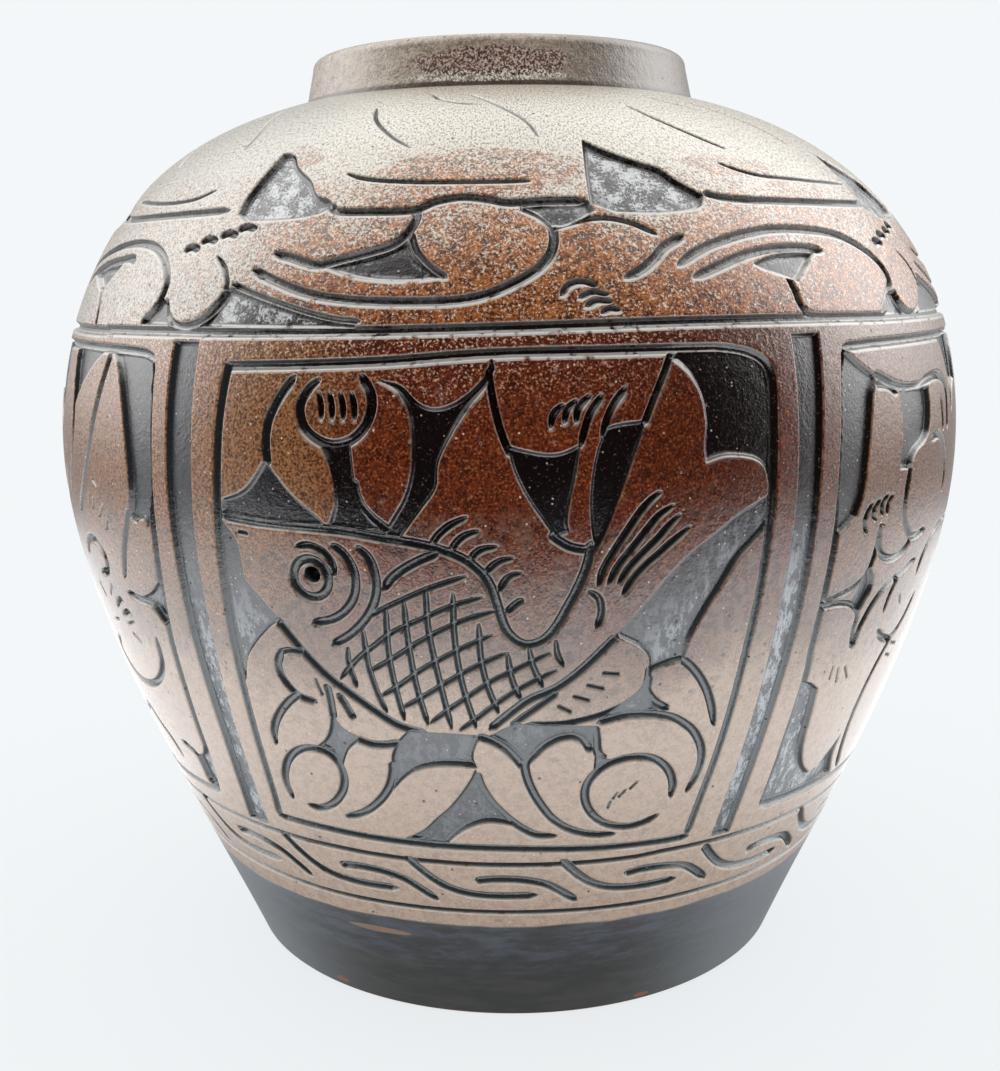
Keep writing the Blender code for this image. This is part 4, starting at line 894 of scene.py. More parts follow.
def clay_sheet(name, around, up, shapes, cell=CELL, rounds=2):
    """A carved piece of the wall between two angles and two heights up the wall."""
    deselect_all()
    widest = radius_at(np.linspace(up[0], up[1], 20)).max()
    across = max(4, round((around[1] - around[0]) * math.radians(1) * widest / cell))
    tall = max(2, round((up[1] - up[0]) / cell))
    bpy.ops.mesh.primitive_grid_add(x_subdivisions=across, y_subdivisions=tall, size=1)
    piece = bpy.context.object
    piece.name = piece.data.name = name
    flat = corners_of(piece.data)
    flat[:, 0] = around[0] + (flat[:, 0] + 0.5) * (around[1] - around[0])
    flat[:, 1] = up[0] + (flat[:, 1] + 0.5) * (up[1] - up[0])
    piece.data.vertices.foreach_set("co", flat.ravel())
    for low, high in NEAR_A_CUT[:rounds]:
        refine(piece, shapes, low, high)
    mesh = piece.data
    flat = corners_of(mesh)
    inside = how_deep_inside(shapes, flat[:, 0], flat[:, 1])
    drilled = np.clip(how_deep_inside(pupils, flat[:, 0], flat[:, 1]) - 0.2, 0, 1)
    wrapped = on_wall(flat[:, 0], flat[:, 1], carved_depth(inside) + PUPIL_DEPTH * drilled)
    mesh.vertices.foreach_set("co", wrapped.ravel())
    keep_numbers(mesh, "inside_cut", inside)
    keep_numbers(mesh, "around", folded(flat[:, 0]))
    keep_numbers(mesh, "drilled", drilled)
    keep_numbers(mesh, "up", flat[:, 1])
    keep_numbers(mesh, "lower_edge", lower_edge(shapes, flat, inside))
    mesh.shade_smooth()
    if around[1] - around[0] == 360:
        bpy.ops.object.mode_set(mode="EDIT")
        bpy.ops.mesh.select_all(action="SELECT")
        bpy.ops.mesh.remove_doubles(threshold=MERGED)
        bpy.ops.object.mode_set(mode="OBJECT")
    triangles = sum(len(face.vertices) - 2 for face in mesh.polygons)
    print(f"{name}: {len(mesh.polygons)} faces, {triangles} triangles")
    return piece


# %% [markdown]
# ## The sheets of the jar
#
# The wall is cut into bands where its patterns change, and the bands into pieces that stay light enough to
# handle. The foot is plain. The back is never seen as close as the front, so its grid is a little wider.

# %% Carved pieces
SHEETS_FROM = 1.6
BASE_TOP = 24.1
BAND_TOP = 68.0
PANEL_MIDDLE = 141.0
PANEL_TOP = 212.4
CLOUD_TOP = 247.0
HALVES = (("front", (-90, 90), CELL), ("back", (90, 270), BACK_CELL))
foot_wall = clay_sheet("foot_wall", (-180, 180), (SHEETS_FROM, BASE_TOP), band, rounds=0)


def band_halves(name, up):
    return [clay_sheet(f"{name}_{side}", around, up, all_shapes, cell) for side, around, cell in HALVES]


scroll_bands = band_halves("scroll_band", (BASE_TOP, BAND_TOP))
panel_turns = (-109.8, -37.4, 30.9, 104, 177, 250.2)
panel_names = ("left_panel", "fish_panel", "right_panel", "back_right_panel", "back_left_panel")
panel_pieces = []
for name, start, end in zip(panel_names, panel_turns, panel_turns[1:]):
    cell = BACK_CELL if name.startswith("back") else CELL
    for part, up in (("low", (BAND_TOP, PANEL_MIDDLE)), ("high", (PANEL_MIDDLE, PANEL_TOP))):
        panel_pieces.append(clay_sheet(f"{name}_{part}", (start, end), up, all_shapes, cell))
cloud_bands = band_halves("cloud_band", (PANEL_TOP, CLOUD_TOP))
petal_dome = clay_sheet("petal_dome", (-180, 180), (CLOUD_TOP, WALL_TOP), all_shapes)

# %% [markdown]
# ## Neck, inside and underside
#
# These are plain turned forms. Each is drawn as half a section and spun round the jar's axis, the way a
# potter's rib would sweep it. The throwing rings inside are real ridges, and the ring under the foot was
# trimmed level. The neck is set into the shoulder by half a millimetre, so that no gap shows.

# %% Turned pieces
TURNED_STEPS = 360


def turned(name, section, wobble=0.0):
    """A piece spun from its section of (radius, height) in millimetres. wobble is how uneven its top is."""
    deselect_all()
    bpy.ops.mesh.primitive_plane_add(size=1)
    piece = bpy.context.object
    piece.name = piece.data.name = name
    form = bmesh.new()
    points = [form.verts.new((r * MM, 0, z * MM)) for r, z in section]
    for a, b in zip(points, points[1:]):
        form.edges.new((a, b))
    form.to_mesh(piece.data)
    form.free()
    bpy.ops.object.mode_set(mode="EDIT")
    bpy.ops.mesh.select_all(action="SELECT")
    bpy.ops.mesh.spin(steps=TURNED_STEPS, angle=2 * math.pi, center=(0, 0, 0), axis=(0, 0, 1))
    bpy.ops.mesh.select_all(action="SELECT")
    bpy.ops.mesh.remove_doubles(threshold=MERGED)
    bpy.ops.mesh.normals_make_consistent(inside=False)
    bpy.ops.object.mode_set(mode="OBJECT")
    mesh = piece.data
    places = corners_of(mesh)
    around = np.degrees(np.arctan2(places[:, 0], -places[:, 1]))
    if wobble:
        top = places[:, 2] >= places[:, 2].max() - 0.0001
        places[:, 2] -= wobble * MM * (0.5 + 0.5 * np.sin(2 * np.radians(around) + 1)) * top
    places[:, 0] -= off_true(places[:, 2] / MM) * MM
    mesh.vertices.foreach_set("co", places.ravel())
    keep_numbers(mesh, "inside_cut", np.full(len(places), -REACH))
    keep_numbers(mesh, "lower_edge", np.zeros(len(places)))
    keep_numbers(mesh, "around", folded(around))
    keep_numbers(mesh, "up", WALL_TOP + places[:, 2] / MM - NECK_FOOT_UP)
    mesh.shade_smooth()
    print(f"{name}: {len(mesh.polygons)} faces")
    return piece


def arc(middle, radius, start, end, count=8):
    turn = np.radians(np.linspace(start, end, count))
    return [(middle[0] + radius * math.cos(t), middle[1] + radius * math.sin(t)) for t in turn]


def face_out(piece, outwards):
    """Turns a piece's faces over if their summed direction from the axis isn't the wanted one."""
    total = 0
    for face in piece.data.polygons:
        total += face.area * (face.normal.x * face.center.x + face.normal.y * face.center.y)
    if (total > 0) != outwards:
        piece.data.flip_normals()


# %% Neck
RIM = 58.8
RIM_WALL = 7.8
RIM_ROUND = 3.0
INNER_ROUND = 2.0
rim_inside = RIM - RIM_WALL
mouth_foot = (rim_inside + 1.6, NECK_FOOT_UP)
neck_section = [
    (NECK_FOOT - 0.5, NECK_FOOT_UP - 0.7),
    (NECK_FOOT - 0.5, NECK_FOOT_UP + 0.4),
    (NECK_FOOT - 1.1, NECK_FOOT_UP + 2),
]
neck_section += [(NECK_FOOT - 1.1 - t * 1.9, NECK_FOOT_UP + 2 + t * 8.8) for t in np.linspace(0.1, 0.9, 7)]
neck_section += arc((RIM - RIM_ROUND, JAR_TOP - RIM_ROUND), RIM_ROUND, 0, 90, 12)
neck_section += arc((rim_inside + INNER_ROUND, JAR_TOP - INNER_ROUND), INNER_ROUND, 90, 180, 8)
neck_section += [(rim_inside + 0.2, JAR_TOP - 6), (rim_inside + 0.6, JAR_TOP - 10), mouth_foot]
neck_ring = turned("neck_ring", neck_section, wobble=0.3)
face_out(neck_ring, outwards=True)

# %% Inside
WALL = 8.0
FLOOR_UP = 13.0
RING_HEIGHT = 0.35
inner_up = np.linspace(WALL_TOP - 3, 18, 150)
wall = WALL + RING_HEIGHT * np.sin(inner_up / 1.9) * ease(inner_up, 30, 60)
inner_r = radius_at(inner_up) - wall * np.interp(inner_up, outline_up, slope[:, 1])
inner_z = np.interp(inner_up, outline_up, outline[:, 1]) + wall * np.interp(inner_up, outline_up, slope[:, 0])
inside_section = [mouth_foot, (rim_inside + 2.6, NECK_FOOT_UP - 4), (NECK_FOOT - 5, NECK_FOOT_UP - 7)]
inside_section += list(zip(inner_r, inner_z))
inside_section += [(inner_r[-1] - 6, FLOOR_UP + 1.2), (inner_r[-1] - 12, FLOOR_UP)]
inside_section += [(r, FLOOR_UP + 0.3 * math.sin(r / 2.4)) for r in np.linspace(70, 4, 40)] + [(0, FLOOR_UP)]
inside_skin = turned("inside_skin", inside_section)
face_out(inside_skin, outwards=False)

# %% Underside
RECESS = 3.0
RING_INSIDE = 79.8
sheets_start = (float(radius_at(SHEETS_FROM)), float(np.interp(SHEETS_FROM, outline_up, outline[:, 1])))
foot_section = [sheets_start, (FOOT - 0.2, 0.7), (FOOT - 1.4, 0.05), (FOOT - 2.2, 0.0)]
foot_section += [(RING_INSIDE, 0.0), (RING_INSIDE - 0.8, 0.3), (RING_INSIDE - 2.5, RECESS)]
foot_section += [(r, RECESS + 0.12 * math.sin(r * 2.2)) for r in np.linspace(75, 3, 90)] + [(0, RECESS)]
foot_under = turned("foot_under", foot_section)
face_out(foot_under, outwards=True)

# %% [markdown]
# ## Shader arithmetic
#
# A glaze is a recipe: so much of one colour where the clay is high, another where it is deep. The recipe
# reads best as sums, so sockets are wrapped in a small class whose operators add the Math nodes.

# %% Socket class
class Number:
    """A number that varies over the surface."""

    def __init__(self, recipe, socket):
        self.recipe = recipe
        self.socket = socket

    def _with(self, operation, first, second):
        return self.recipe.node("ShaderNodeMath", {"operation": operation}, {0: first, 1: second}).number()

    def __add__(self, other):
        return self._with("ADD", self, other)

    def __sub__(self, other):
        return self._with("SUBTRACT", self, other)

    def __rsub__(self, other):
        return self._with("SUBTRACT", other, self)

    def __mul__(self, other):
        return self._with("MULTIPLY", self, other)

    def __pow__(self, other):
        return self._with("POWER", self, other)

    __radd__ = __add__
    __rmul__ = __mul__

    def most(self, other):
        return self._with("MAXIMUM", self, other)

    def ease(self, low, high):
        """0 at low, 1 at high and smooth between. low may be the larger."""
        if low > high:
            return 1 - self.ease(high, low)
        settings = {"interpolation_type": "SMOOTHSTEP"}
        inputs = {"Value": self, "From Min": low, "From Max": high}
        return self.recipe.node("ShaderNodeMapRange", settings, inputs).number()


class Made:
    """A node that was just made, with its outputs as numbers."""

    def __init__(self, recipe, node):
        self.recipe = recipe
        self.node = node

    def number(self, output=0):
        return Number(self.recipe, self.node.outputs[output])


class Recipe:
    """The node tree of one material, or of the world."""

    def __init__(self, owner):
        owner.use_nodes = True
        self.owner = owner
        self.tree = owner.node_tree
        self.shader = self.tree.nodes.get("Principled BSDF")
        self.place = self.node("ShaderNodeTexCoord").number("Object")

    def node(self, kind, settings=None, inputs=None):
        node = self.tree.nodes.new(kind)
        for key, value in (settings or {}).items():
            setattr(node, key, value)
        for key, value in (inputs or {}).items():
            self.feed(node.inputs[key], value)
        return Made(self, node)

    def feed(self, socket, value):
        if isinstance(value, Number):
            self.tree.links.new(value.socket, socket)
        else:
            socket.default_value = value

    def kept(self, name):
        """A number that was kept on the mesh."""
        return self.node("ShaderNodeAttribute", {"attribute_name": name}).number("Fac")

    def noise(self, scale, detail=3.0, roughness=0.55, place=None, distortion=0.0):
        inputs = {"Vector": place or self.place, "Scale": scale, "Detail": detail}
        inputs |= {"Roughness": roughness, "Distortion": distortion}
        return self.node("ShaderNodeTexNoise", {}, inputs).number("Fac")

    def specks(self, scale, size, share):
        """Dots of about size / scale metres. A share of the cells has one."""
        inputs = {"Vector": self.place, "Scale": scale}
        cells = self.node("ShaderNodeTexVoronoi", {"feature": "F1"}, inputs)
        pick = self.node("ShaderNodeSeparateColor", {}, {"Color": cells.number("Color")})
        chosen = pick.number(0).ease(1 - share, 1 - share + 0.02)
        return cells.number("Distance").ease(size, size * 0.6) * chosen

    def mix(self, factor, first, second):
        return self.node("ShaderNodeMix", {"data_type": "RGBA"}, {0: factor, 6: first, 7: second}).number(2)

    def stretched(self, x, y, z):
        return self.node("ShaderNodeMapping", {}, {"Vector": self.place, "Scale": (x, y, z)}).number()

    def along_wall(self, across, upwards):
        """A place measured along the wall, near enough in metres, stretched where a share is under 1."""
        inputs = {0: self.kept("around") * (0.0018 * across), 1: self.kept("up") * (0.001 * upwards)}
        return self.node("ShaderNodeCombineXYZ", {}, inputs).number()

    def bump(self, height, distance):
        return self.node("ShaderNodeBump", {}, {"Height": height, "Distance": distance}).number()

    def patch(self, around, up, wide, tall, ragged=0.5):
        """1 in a spot about a place on the wall and 0 outside, with a ragged edge, in degrees and mm."""
        x = (self.kept("around") - around) * (1 / wide)
        y = (self.kept("up") - up) * (1 / tall)
        away = (x * x + y * y) ** 0.5 + (self.noise(150, 4, 0.6) - 0.5) * ragged * 2
        return away.ease(1.1, 0.9)

    def finish(self, **sockets):
        """Feeds the shader's own sockets."""
        for name, value in sockets.items():
            self.feed(self.shader.inputs[name.replace("_", " ")], value)
        return self.owner


def srgb(red, green, blue):
    """A colour as it looks on screen, 0 to 255, turned to the linear light that shaders use."""
    values = []
    for level in (red, green, blue):
        level /= 255
        values.append(level / 12.92 if level <= 0.04045 else ((level + 0.055) / 1.055) ** 2.4)
    return (*values, 1.0)


# %% [markdown]
# ## The glaze
#
# An iron-brown glaze over grey-brown stoneware. On the high clay it is red-brown and grainy, with tan specks
# and dark pits. In the cuts it lies thick and almost black, with a blue cast low on the jar. Along the lips
# of the cuts it has broken thin, and shows as a pale, uneven line, which is partly a painted highlight; the
# lower lips carry a brighter painted highlight, strongest from high on the panels up. It is glossy but not
# smooth: fine pitting breaks every highlight into sparkles, and a white table or lamp veils it.

# %% Glaze recipe
RED_BROWN = srgb(132, 56, 22)
DEEP_BROWN = srgb(56, 20, 9)
OLIVE_BROWN = srgb(188, 132, 84)
OLIVE_DARK = srgb(84, 54, 34)
EARTH = srgb(208, 180, 158)
SOFT_EARTH = srgb(186, 158, 138)
MIDDLE_EARTH = srgb(150, 118, 96)
DARK_EARTH = srgb(84, 66, 54)
SMUDGE_LIGHT = srgb(128, 106, 92)
SMUDGE_DARK = srgb(62, 48, 42)
SPOT_BROWN = srgb(56, 42, 36)
TAN_GRAIN = srgb(204, 132, 80)
MAUVE = srgb(136, 112, 108)
PALE_SPECK_AND_SPARKLE = srgb(238, 216, 190)
PIT_BLACK = srgb(16, 10, 10)
CUT_BLACK = srgb(18, 4, 4)
LINE_SLATE = srgb(54, 62, 66)
CUT_SLATE = srgb(40, 45, 56)
CHALK = srgb(184, 191, 199)
LIP_TAN = srgb(200, 172, 146)
PAINTED_LIP_HIGHLIGHT = srgb(216, 212, 206)
GLAZE_IOR = 2.0
PITTING = 0.00016


class Glaze(Recipe):
    """The brown glaze. Each piece of the jar starts from it and adds its own colours."""

    def __init__(self, name):
        super().__init__(bpy.data.materials.new(name))
        self.inside = self.kept("inside_cut")
        self.around = self.kept("around")
        self.up = self.kept("up")
        self.grain = self.noise(1500, 3, 0.7)
        self.clumps = self.noise(420, 3, 0.6)
        self.wander = self.noise(24, 3) - 0.5
        self.pits = self.specks(300, 0.13, 0.22)
        self.wide = self.inside.ease(1.0, 1.8)
        self.high = self.grainy(0.75, 0.36, 0.62, DEEP_BROWN, RED_BROWN)
        self.low = self.mix(self.grain.ease(0.62, 0.70) * 0.3, CUT_BLACK, LIP_TAN)
        self.lay(self.grain.ease(0.57, 0.66) * 0.6, TAN_GRAIN)

    def grainy(self, share, low, high, dark, light):
        """Two colours mixed by the grain, and for the rest by larger clumps of it."""
        return self.mix((self.grain * share + self.clumps * (1 - share)).ease(low, high), dark, light)

    def lay(self, factor, colour):
        """Lays a colour over the high clay."""
        self.high = self.mix(factor, self.high, colour)

    def sink(self, factor, colour):
        """Lays a colour in the cuts."""
        self.low = self.mix(factor, self.low, colour)

    def beyond(self, left, right):
        """1 at both sides and 0 in front. Each side is given as where it starts and where it is full."""
        return self.around.ease(*left).most(self.around.ease(*right))

    def olive_sides(self):
        """The brown turns from red in front to olive and tan at both sides."""
        turned_by = self.around + self.wander * 40
        sides = turned_by.ease(-12, -30).most(turned_by.ease(26, 54))
        self.lay(sides * 0.85, self.mix(self.grain.ease(0.38, 0.60), OLIVE_DARK, OLIVE_BROWN))

    def pale_low(self, brown, pale):
        """Where the wall turns under, it is paler, partly thin glaze and partly a painted reflection of the
        white table: earthy on the high clay, slate and chalk in cuts, which also reach the sides.
        """
        height = self.up + self.wander * 50
        dark = self.mix(height.ease(104, 150), SOFT_EARTH, DARK_EARTH)
        clear = self.mix(height.ease(112, 146), EARTH, MIDDLE_EARTH)
        # Partly painted reflection of the white table: the wall is laid paler and earthy low down.
        self.lay(height.ease(brown, pale), self.grainy(0.55, 0.41, 0.56, dark, clear))
        smudge = self.noise(105, 5, 0.78).ease(0.47, 0.58) * self.up.ease(112, 138) * self.up.ease(176, 160)
        self.lay(smudge * 0.55, self.mix(self.clumps.ease(0.44, 0.56), SMUDGE_DARK, SMUDGE_LIGHT))
        spots = self.specks(360, 0.26, 0.32) * (self.up.ease(100, 132) * 0.8 + 0.2)
        self.lay(spots * 0.7, SPOT_BROWN)
        # Partly painted reflection of the white table: the cuts turn chalky and slate low down, to the right
        # and at both sides.
        scratches = self.noise(420, 5, 0.8, place=self.stretched(1, 1, 0.4)) + self.noise(70, 3) * 0.3
        right = self.around.ease(8, 22) * self.around.ease(44, 34)
        rims = self.beyond((-22, -30), (22, 28))
        chalked = (height - right * 22).ease(brown, pale) * (right.most(rims) * 0.8 + 0.2)
        chalk_and_reflection = self.mix(scratches.ease(0.62, 0.73) * chalked, CUT_SLATE, CHALK)
        slate = height.ease(brown + 12, pale + 14).most(self.beyond((-18, -32), (34, 60)) * 0.6)
        self.sink(slate, self.mix(self.wide, LINE_SLATE, chalk_and_reflection))

    def sprinkle(self):
        """Pale specks, partly painted sparkle, mauve spots and black pits over everything."""
        self.lay(self.noise(170, 2).ease(0.66, 0.74) * 0.4, MAUVE)
        # Pale specks on the high clay and in the cuts, partly painted sparkle.
        self.lay(self.specks(620, 0.20, 0.12) * 0.9, PALE_SPECK_AND_SPARKLE)
        self.sink(self.specks(760, 0.22, 0.12) * self.wide * 0.8, PALE_SPECK_AND_SPARKLE)
        self.prick()

    def prick(self):
        """Lays the black of the pits over the high clay."""
        self.lay(self.pits * 0.95, PIT_BLACK)

    def fired(self, roughness=0.14, relief=1.8, highlight_heights=(165, 215), hole=None):
        """Joins the high and low colours at the edge of the cuts, paints highlights along their lips and the
        eye's shade, and finishes the material.
        """
        colour = self.mix(self.inside.ease(-0.22, 0.08), self.high, self.low)
        lip_breakup = self.noise(330, 3)
        # Partly worn glaze and partly a painted highlight: a pale, broken line along both lips of the cuts.
        worn_and_lit_lip = self.inside.ease(-0.55, -0.25) * self.inside.ease(-0.02, -0.2) * lip_breakup.ease(0.36, 0.60)
        colour = self.mix(worn_and_lit_lip * 0.3, colour, LIP_TAN)
        # Painted highlight along the lower lips of the cuts, broad and stronger from high on the panels up.
        thin = self.inside.ease(-0.55, -0.3) * self.inside.ease(0.2, -0.05)
        broad = self.inside.ease(-1.05, -0.7) * self.inside.ease(1.3, 0.9) * self.up.ease(*highlight_heights)
        lip_highlight = thin.most(broad) * self.kept("lower_edge").ease(0.35, 0.8) * lip_breakup.ease(0.30, 0.46)
        colour = self.mix(lip_highlight * (self.up.ease(*highlight_heights) * 0.55 + 0.35), colour, PAINTED_LIP_HIGHLIGHT)
        # Painted shade: the drilled eye is painted black for the shade in its deep hole.
        if hole is not None:
            colour = self.mix(hole, colour, PIT_BLACK)
        height = self.clumps * 0.5 + self.grain * 0.4 - self.pits * 1.6
        self.shader.inputs["IOR"].default_value = GLAZE_IOR
        return self.finish(
            Base_Color=colour,
            Roughness=(self.grain - 0.5) * 0.2 + roughness,
            Normal=self.bump(height, PITTING * relief),
        )


# %% [markdown]
# ## Where the kiln changed the glaze
#
# On the panels the glaze is red in front, olive at the sides and earthy low down, where it is thin and partly
# a painted reflection of the white table. At the top it takes pale specks like the shoulder's, here a painted
# sparkle of the lamps above. The fish's drilled eye is painted black: painted shade in the deep hole.

# %% Glaze on the panels
def panel_glaze(name):
    glaze = Glaze(name)
    glaze.olive_sides()
    glaze.pale_low(brown=164, pale=116)
    glaze.sprinkle()
    # Painted sparkle: pale specks near the top of the panels.
    upper_sparkle = (glaze.up + glaze.wander * 30).ease(188, 214)
    glaze.lay(glaze.grain.ease(0.56, 0.62) * upper_sparkle * 0.8, PALE_SPECK_AND_SPARKLE)
    darker = glaze.around.ease(4, 22) * glaze.up.ease(140, 180)
    glaze.lay(darker * 0.4, DEEP_BROWN)
    # The drilled eye's black is painted shade.
    return glaze.fired(hole=glaze.kept("drilled").ease(0.05, 0.35))


# %% [markdown]
# The foot was dipped apart in a darker slip, brushed on in level strokes: slate above and olive-black below,
# with one bare streak and two spots of rust. The potter's brush left its upper edge a little unsteady. At
# both sides the slip is laid grey, a painted reflection of the white table.

# %% Glaze on the band and the foot
FOOT_SLIP_UP = 39.7
SLATE_DARK, SLATE_LIGHT = srgb(10, 12, 17), srgb(64, 71, 84)
OLIVE_BLACK, OLIVE_GREY = srgb(10, 11, 8), srgb(46, 47, 38)
TABLE_REFLECTION_GREY = srgb(132, 139, 146)
BARE_STREAK = srgb(160, 122, 92)
RUST = srgb(176, 92, 40)


def band_glaze_of(name):
    glaze = Glaze(name)
    glaze.pale_low(brown=160, pale=118)
    glaze.sprinkle()
    edge = glaze.up + (glaze.noise(60, 2) - 0.5) * 2.5
    foot = edge.ease(FOOT_SLIP_UP + 0.5, FOOT_SLIP_UP - 0.5)
    brushed = glaze.noise(170, 5, 0.7, place=glaze.stretched(0.35, 0.35, 1.5))
    slate = glaze.mix(brushed.ease(0.38, 0.62), SLATE_DARK, SLATE_LIGHT)
    olive = glaze.mix(brushed.ease(0.38, 0.62), OLIVE_BLACK, OLIVE_GREY)
    slip = glaze.mix((edge + brushed * 8).ease(30, 22), slate, olive)
    # Painted reflection of the white table: the slip is laid grey at both sides.
    slip = glaze.mix(glaze.beyond((-22, -58), (14, 48)) * 0.85, slip, TABLE_REFLECTION_GREY)
    glaze.lay(foot, slip)
    glaze.sink(foot, slip)
    bare = glaze.patch(-23, 33.6, 5.5, 1.2, ragged=0.3)
    rust = glaze.patch(-36, 4, 1.5, 1.1).most(glaze.patch(24, 3, 1.5, 1.0))
    glaze.lay(bare * 0.85, BARE_STREAK)
    glaze.lay(rust * 0.8, RUST)
    return glaze.fired()


# %% [markdown]
# Ash settles on a jar's shoulder in the kiln and turns the glaze there to cream, in specks that join up
# towards the neck; their white is partly a painted sparkle of the lamps above. Three spots of brown were
# sheltered from it. The scraped grounds up here are chalky, and the glaze is darker in the crease under the
# neck.

# %% Glaze on the shoulder
ORANGE_BROWN, BURNT_BROWN = srgb(202, 120, 44), srgb(84, 40, 12)
STONE_LIGHT, STONE_DARK = srgb(168, 146, 118), srgb(104, 84, 62)
CREAM, COOL_CREAM = srgb(234, 228, 212), srgb(206, 205, 194)
RUN_BROWN = srgb(96, 75, 52)
CREASE_BROWN = srgb(82, 56, 32)
CHALK_WHITE, CHALK_BLACK = srgb(208, 210, 210), srgb(8, 7, 10)


def shoulder_glaze_of(name):
    glaze = Glaze(name)
    glaze.lay(glaze.up.ease(206, 240) * 0.4 + 0.5, glaze.grainy(0.6, 0.42, 0.56, BURNT_BROWN, ORANGE_BROWN))
    stone = glaze.mix(glaze.grain.ease(0.4, 0.6), STONE_DARK, STONE_LIGHT)
    glaze.lay(glaze.up.ease(252, 282) * 0.8, stone)
    glaze.sprinkle()
    sheltered = glaze.patch(-2, 257, 13, 8).most(glaze.patch(-29, 263, 4, 6)).most(glaze.patch(30, 259, 7, 4))
    drift = glaze.noise(70, 3, 0.6) - 0.5
    height = glaze.up + glaze.wander * 40 + drift * 50
    left = glaze.around.ease(-18, -34) * height.ease(200, 216)
    cover = (height.ease(222, 276) * (1 - sheltered * 0.55)).most(left * 0.55)
    frost = glaze.noise(1200, 4, 0.78, distortion=1.2)
    # Partly painted sparkle: the cream flecks also stand for glints of the lamps above.
    fleck_and_sparkle = glaze.grain * 0.4 + frost * 0.6 + cover * 0.16 + 0.02
    glaze.lay(fleck_and_sparkle.ease(0.57, 0.60) * 0.95, glaze.mix(left * 0.7, CREAM, COOL_CREAM))
    runs = glaze.noise(1900, 3, 0.75, place=glaze.along_wall(1.0, 0.5))
    glaze.lay(runs.ease(0.51, 0.57) * cover * 0.85, RUN_BROWN)
    glaze.prick()
    glaze.lay(glaze.up.ease(WALL_TOP - 2.0, WALL_TOP - 1.2) * 0.8, CREASE_BROWN)
    mottle = glaze.noise(1300, 4, 0.85) * 0.6 + glaze.noise(200, 3) * 0.4
    chalk = glaze.mix(mottle.ease(0.48, 0.53), CHALK_BLACK, CHALK_WHITE)
    edge = glaze.inside.ease(2.4, 0.9) * height.ease(206, 226)
    left_ground = glaze.patch(-27, 220, 13, 11)
    chalked = height.ease(232, 246).most(edge).most(left_ground) * (glaze.wide * 0.9 + 0.1)
    glaze.sink(chalked, chalk)
    return glaze.fired(roughness=0.18)


# %% [markdown]
# The neck is dull and stony, darker to the right, and shows the brown only in a worn patch in front. White
# specks in a band low on it and over the worn patch are a painted sparkle. Its heights go on from the wall's,
# so that one measure serves the whole jar.

# %% Glaze on the neck
NECK_LIGHT, NECK_DARK = srgb(196, 180, 162), srgb(128, 108, 90)
NECK_SHADE = srgb(84, 67, 48)
NECK_CREASE = srgb(70, 48, 30)
PAINTED_SPARKLE_WHITE = srgb(240, 236, 226)


def neck_glaze_of(name):
    glaze = Glaze(name)
    glaze.sprinkle()
    stone = glaze.grainy(0.6, 0.36, 0.62, NECK_DARK, NECK_LIGHT)
    stone = glaze.mix(glaze.around.ease(6, 36) * 0.9, stone, NECK_SHADE)
    front = glaze.patch(-3, 322.2, 24, 4.0, ragged=0.7)
    glaze.lay(1 - front * 0.85, stone)
    glaze.lay(glaze.up.ease(317.2, 316.6) * 0.8, NECK_CREASE)
    glaze.prick()
    # Painted sparkle: white specks in a band low on the neck and over the worn patch.
    painted_sparkle = glaze.patch(-4, 318.2, 22, 1.6, ragged=0.4).most(glaze.patch(3, 321, 6, 2, ragged=0.7) * 0.6)
    glaze.lay(painted_sparkle.most(front * 0.5) * glaze.grain.ease(0.49, 0.55) * 0.95, PAINTED_SPARKLE_WHITE)
    return glaze.fired(roughness=0.24, relief=2.2)


def inside_glaze_of(name):
    glaze = Glaze(name)
    glaze.sprinkle()
    return glaze.fired(roughness=0.25)


body_glaze = panel_glaze("body_glaze")
band_glaze = band_glaze_of("band_glaze")
shoulder_glaze = shoulder_glaze_of("shoulder_glaze")
neck_glaze = neck_glaze_of("neck_glaze")
inside_glaze = inside_glaze_of("inside_glaze")
print("glazes:", [m.name for m in (body_glaze, band_glaze, shoulder_glaze, neck_glaze, inside_glaze)])

# %% [markdown]
# ## Bare clay
#
# The ring that the jar stands on, and the recess inside it, are wiped clean before firing, or the glaze would
# fuse them to the kiln shelf. Bare stoneware is orange-brown, matt and gritty, with the trimming tool's
# circles.

# %% Clay recipe
CLAY_DARK, CLAY_LIGHT = srgb(122, 78, 52), srgb(160, 112, 78)
CLAY_SPOT = srgb(58, 42, 34)


def bare_clay(name):
    recipe = Recipe(bpy.data.materials.new(name))
    grit = recipe.noise(700, 4, 0.7)
    colour = recipe.mix(recipe.noise(60, 3).ease(0.3, 0.7), CLAY_DARK, CLAY_LIGHT)
    colour = recipe.mix(recipe.specks(500, 0.2, 0.3) * 0.8, colour, CLAY_SPOT)
    return recipe.finish(Base_Color=colour, Roughness=grit * 0.2 + 0.7, Normal=recipe.bump(grit, 0.0002))


clay = bare_clay("bare_clay")

# %% [markdown]
# ## Dressing the frame
#
# Each carved sheet and turned piece takes the place of the plain section it belongs to. The glaze doesn't
# follow the joints: the slip on the foot runs up over the wall.

# %% Dress the pieces
def dress(piece, material, node):
    piece.data.materials.clear()
    piece.data.materials.append(material)
    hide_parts(node)
    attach(piece, "root")


dress(foot_wall, band_glaze, "base")
dress(foot_under, clay, "base")
for piece in scroll_bands:
    dress(piece, band_glaze, "body_wall")
for piece in panel_pieces:
    dress(piece, body_glaze, "body_wall")
for piece in cloud_bands + [petal_dome]:
    dress(piece, shoulder_glaze, "shoulder")
dress(inside_skin, inside_glaze, "body_wall")
dress(neck_ring, neck_glaze, "neck")
print("pieces dressed:", 5 + len(scroll_bands + panel_pieces + cloud_bands))

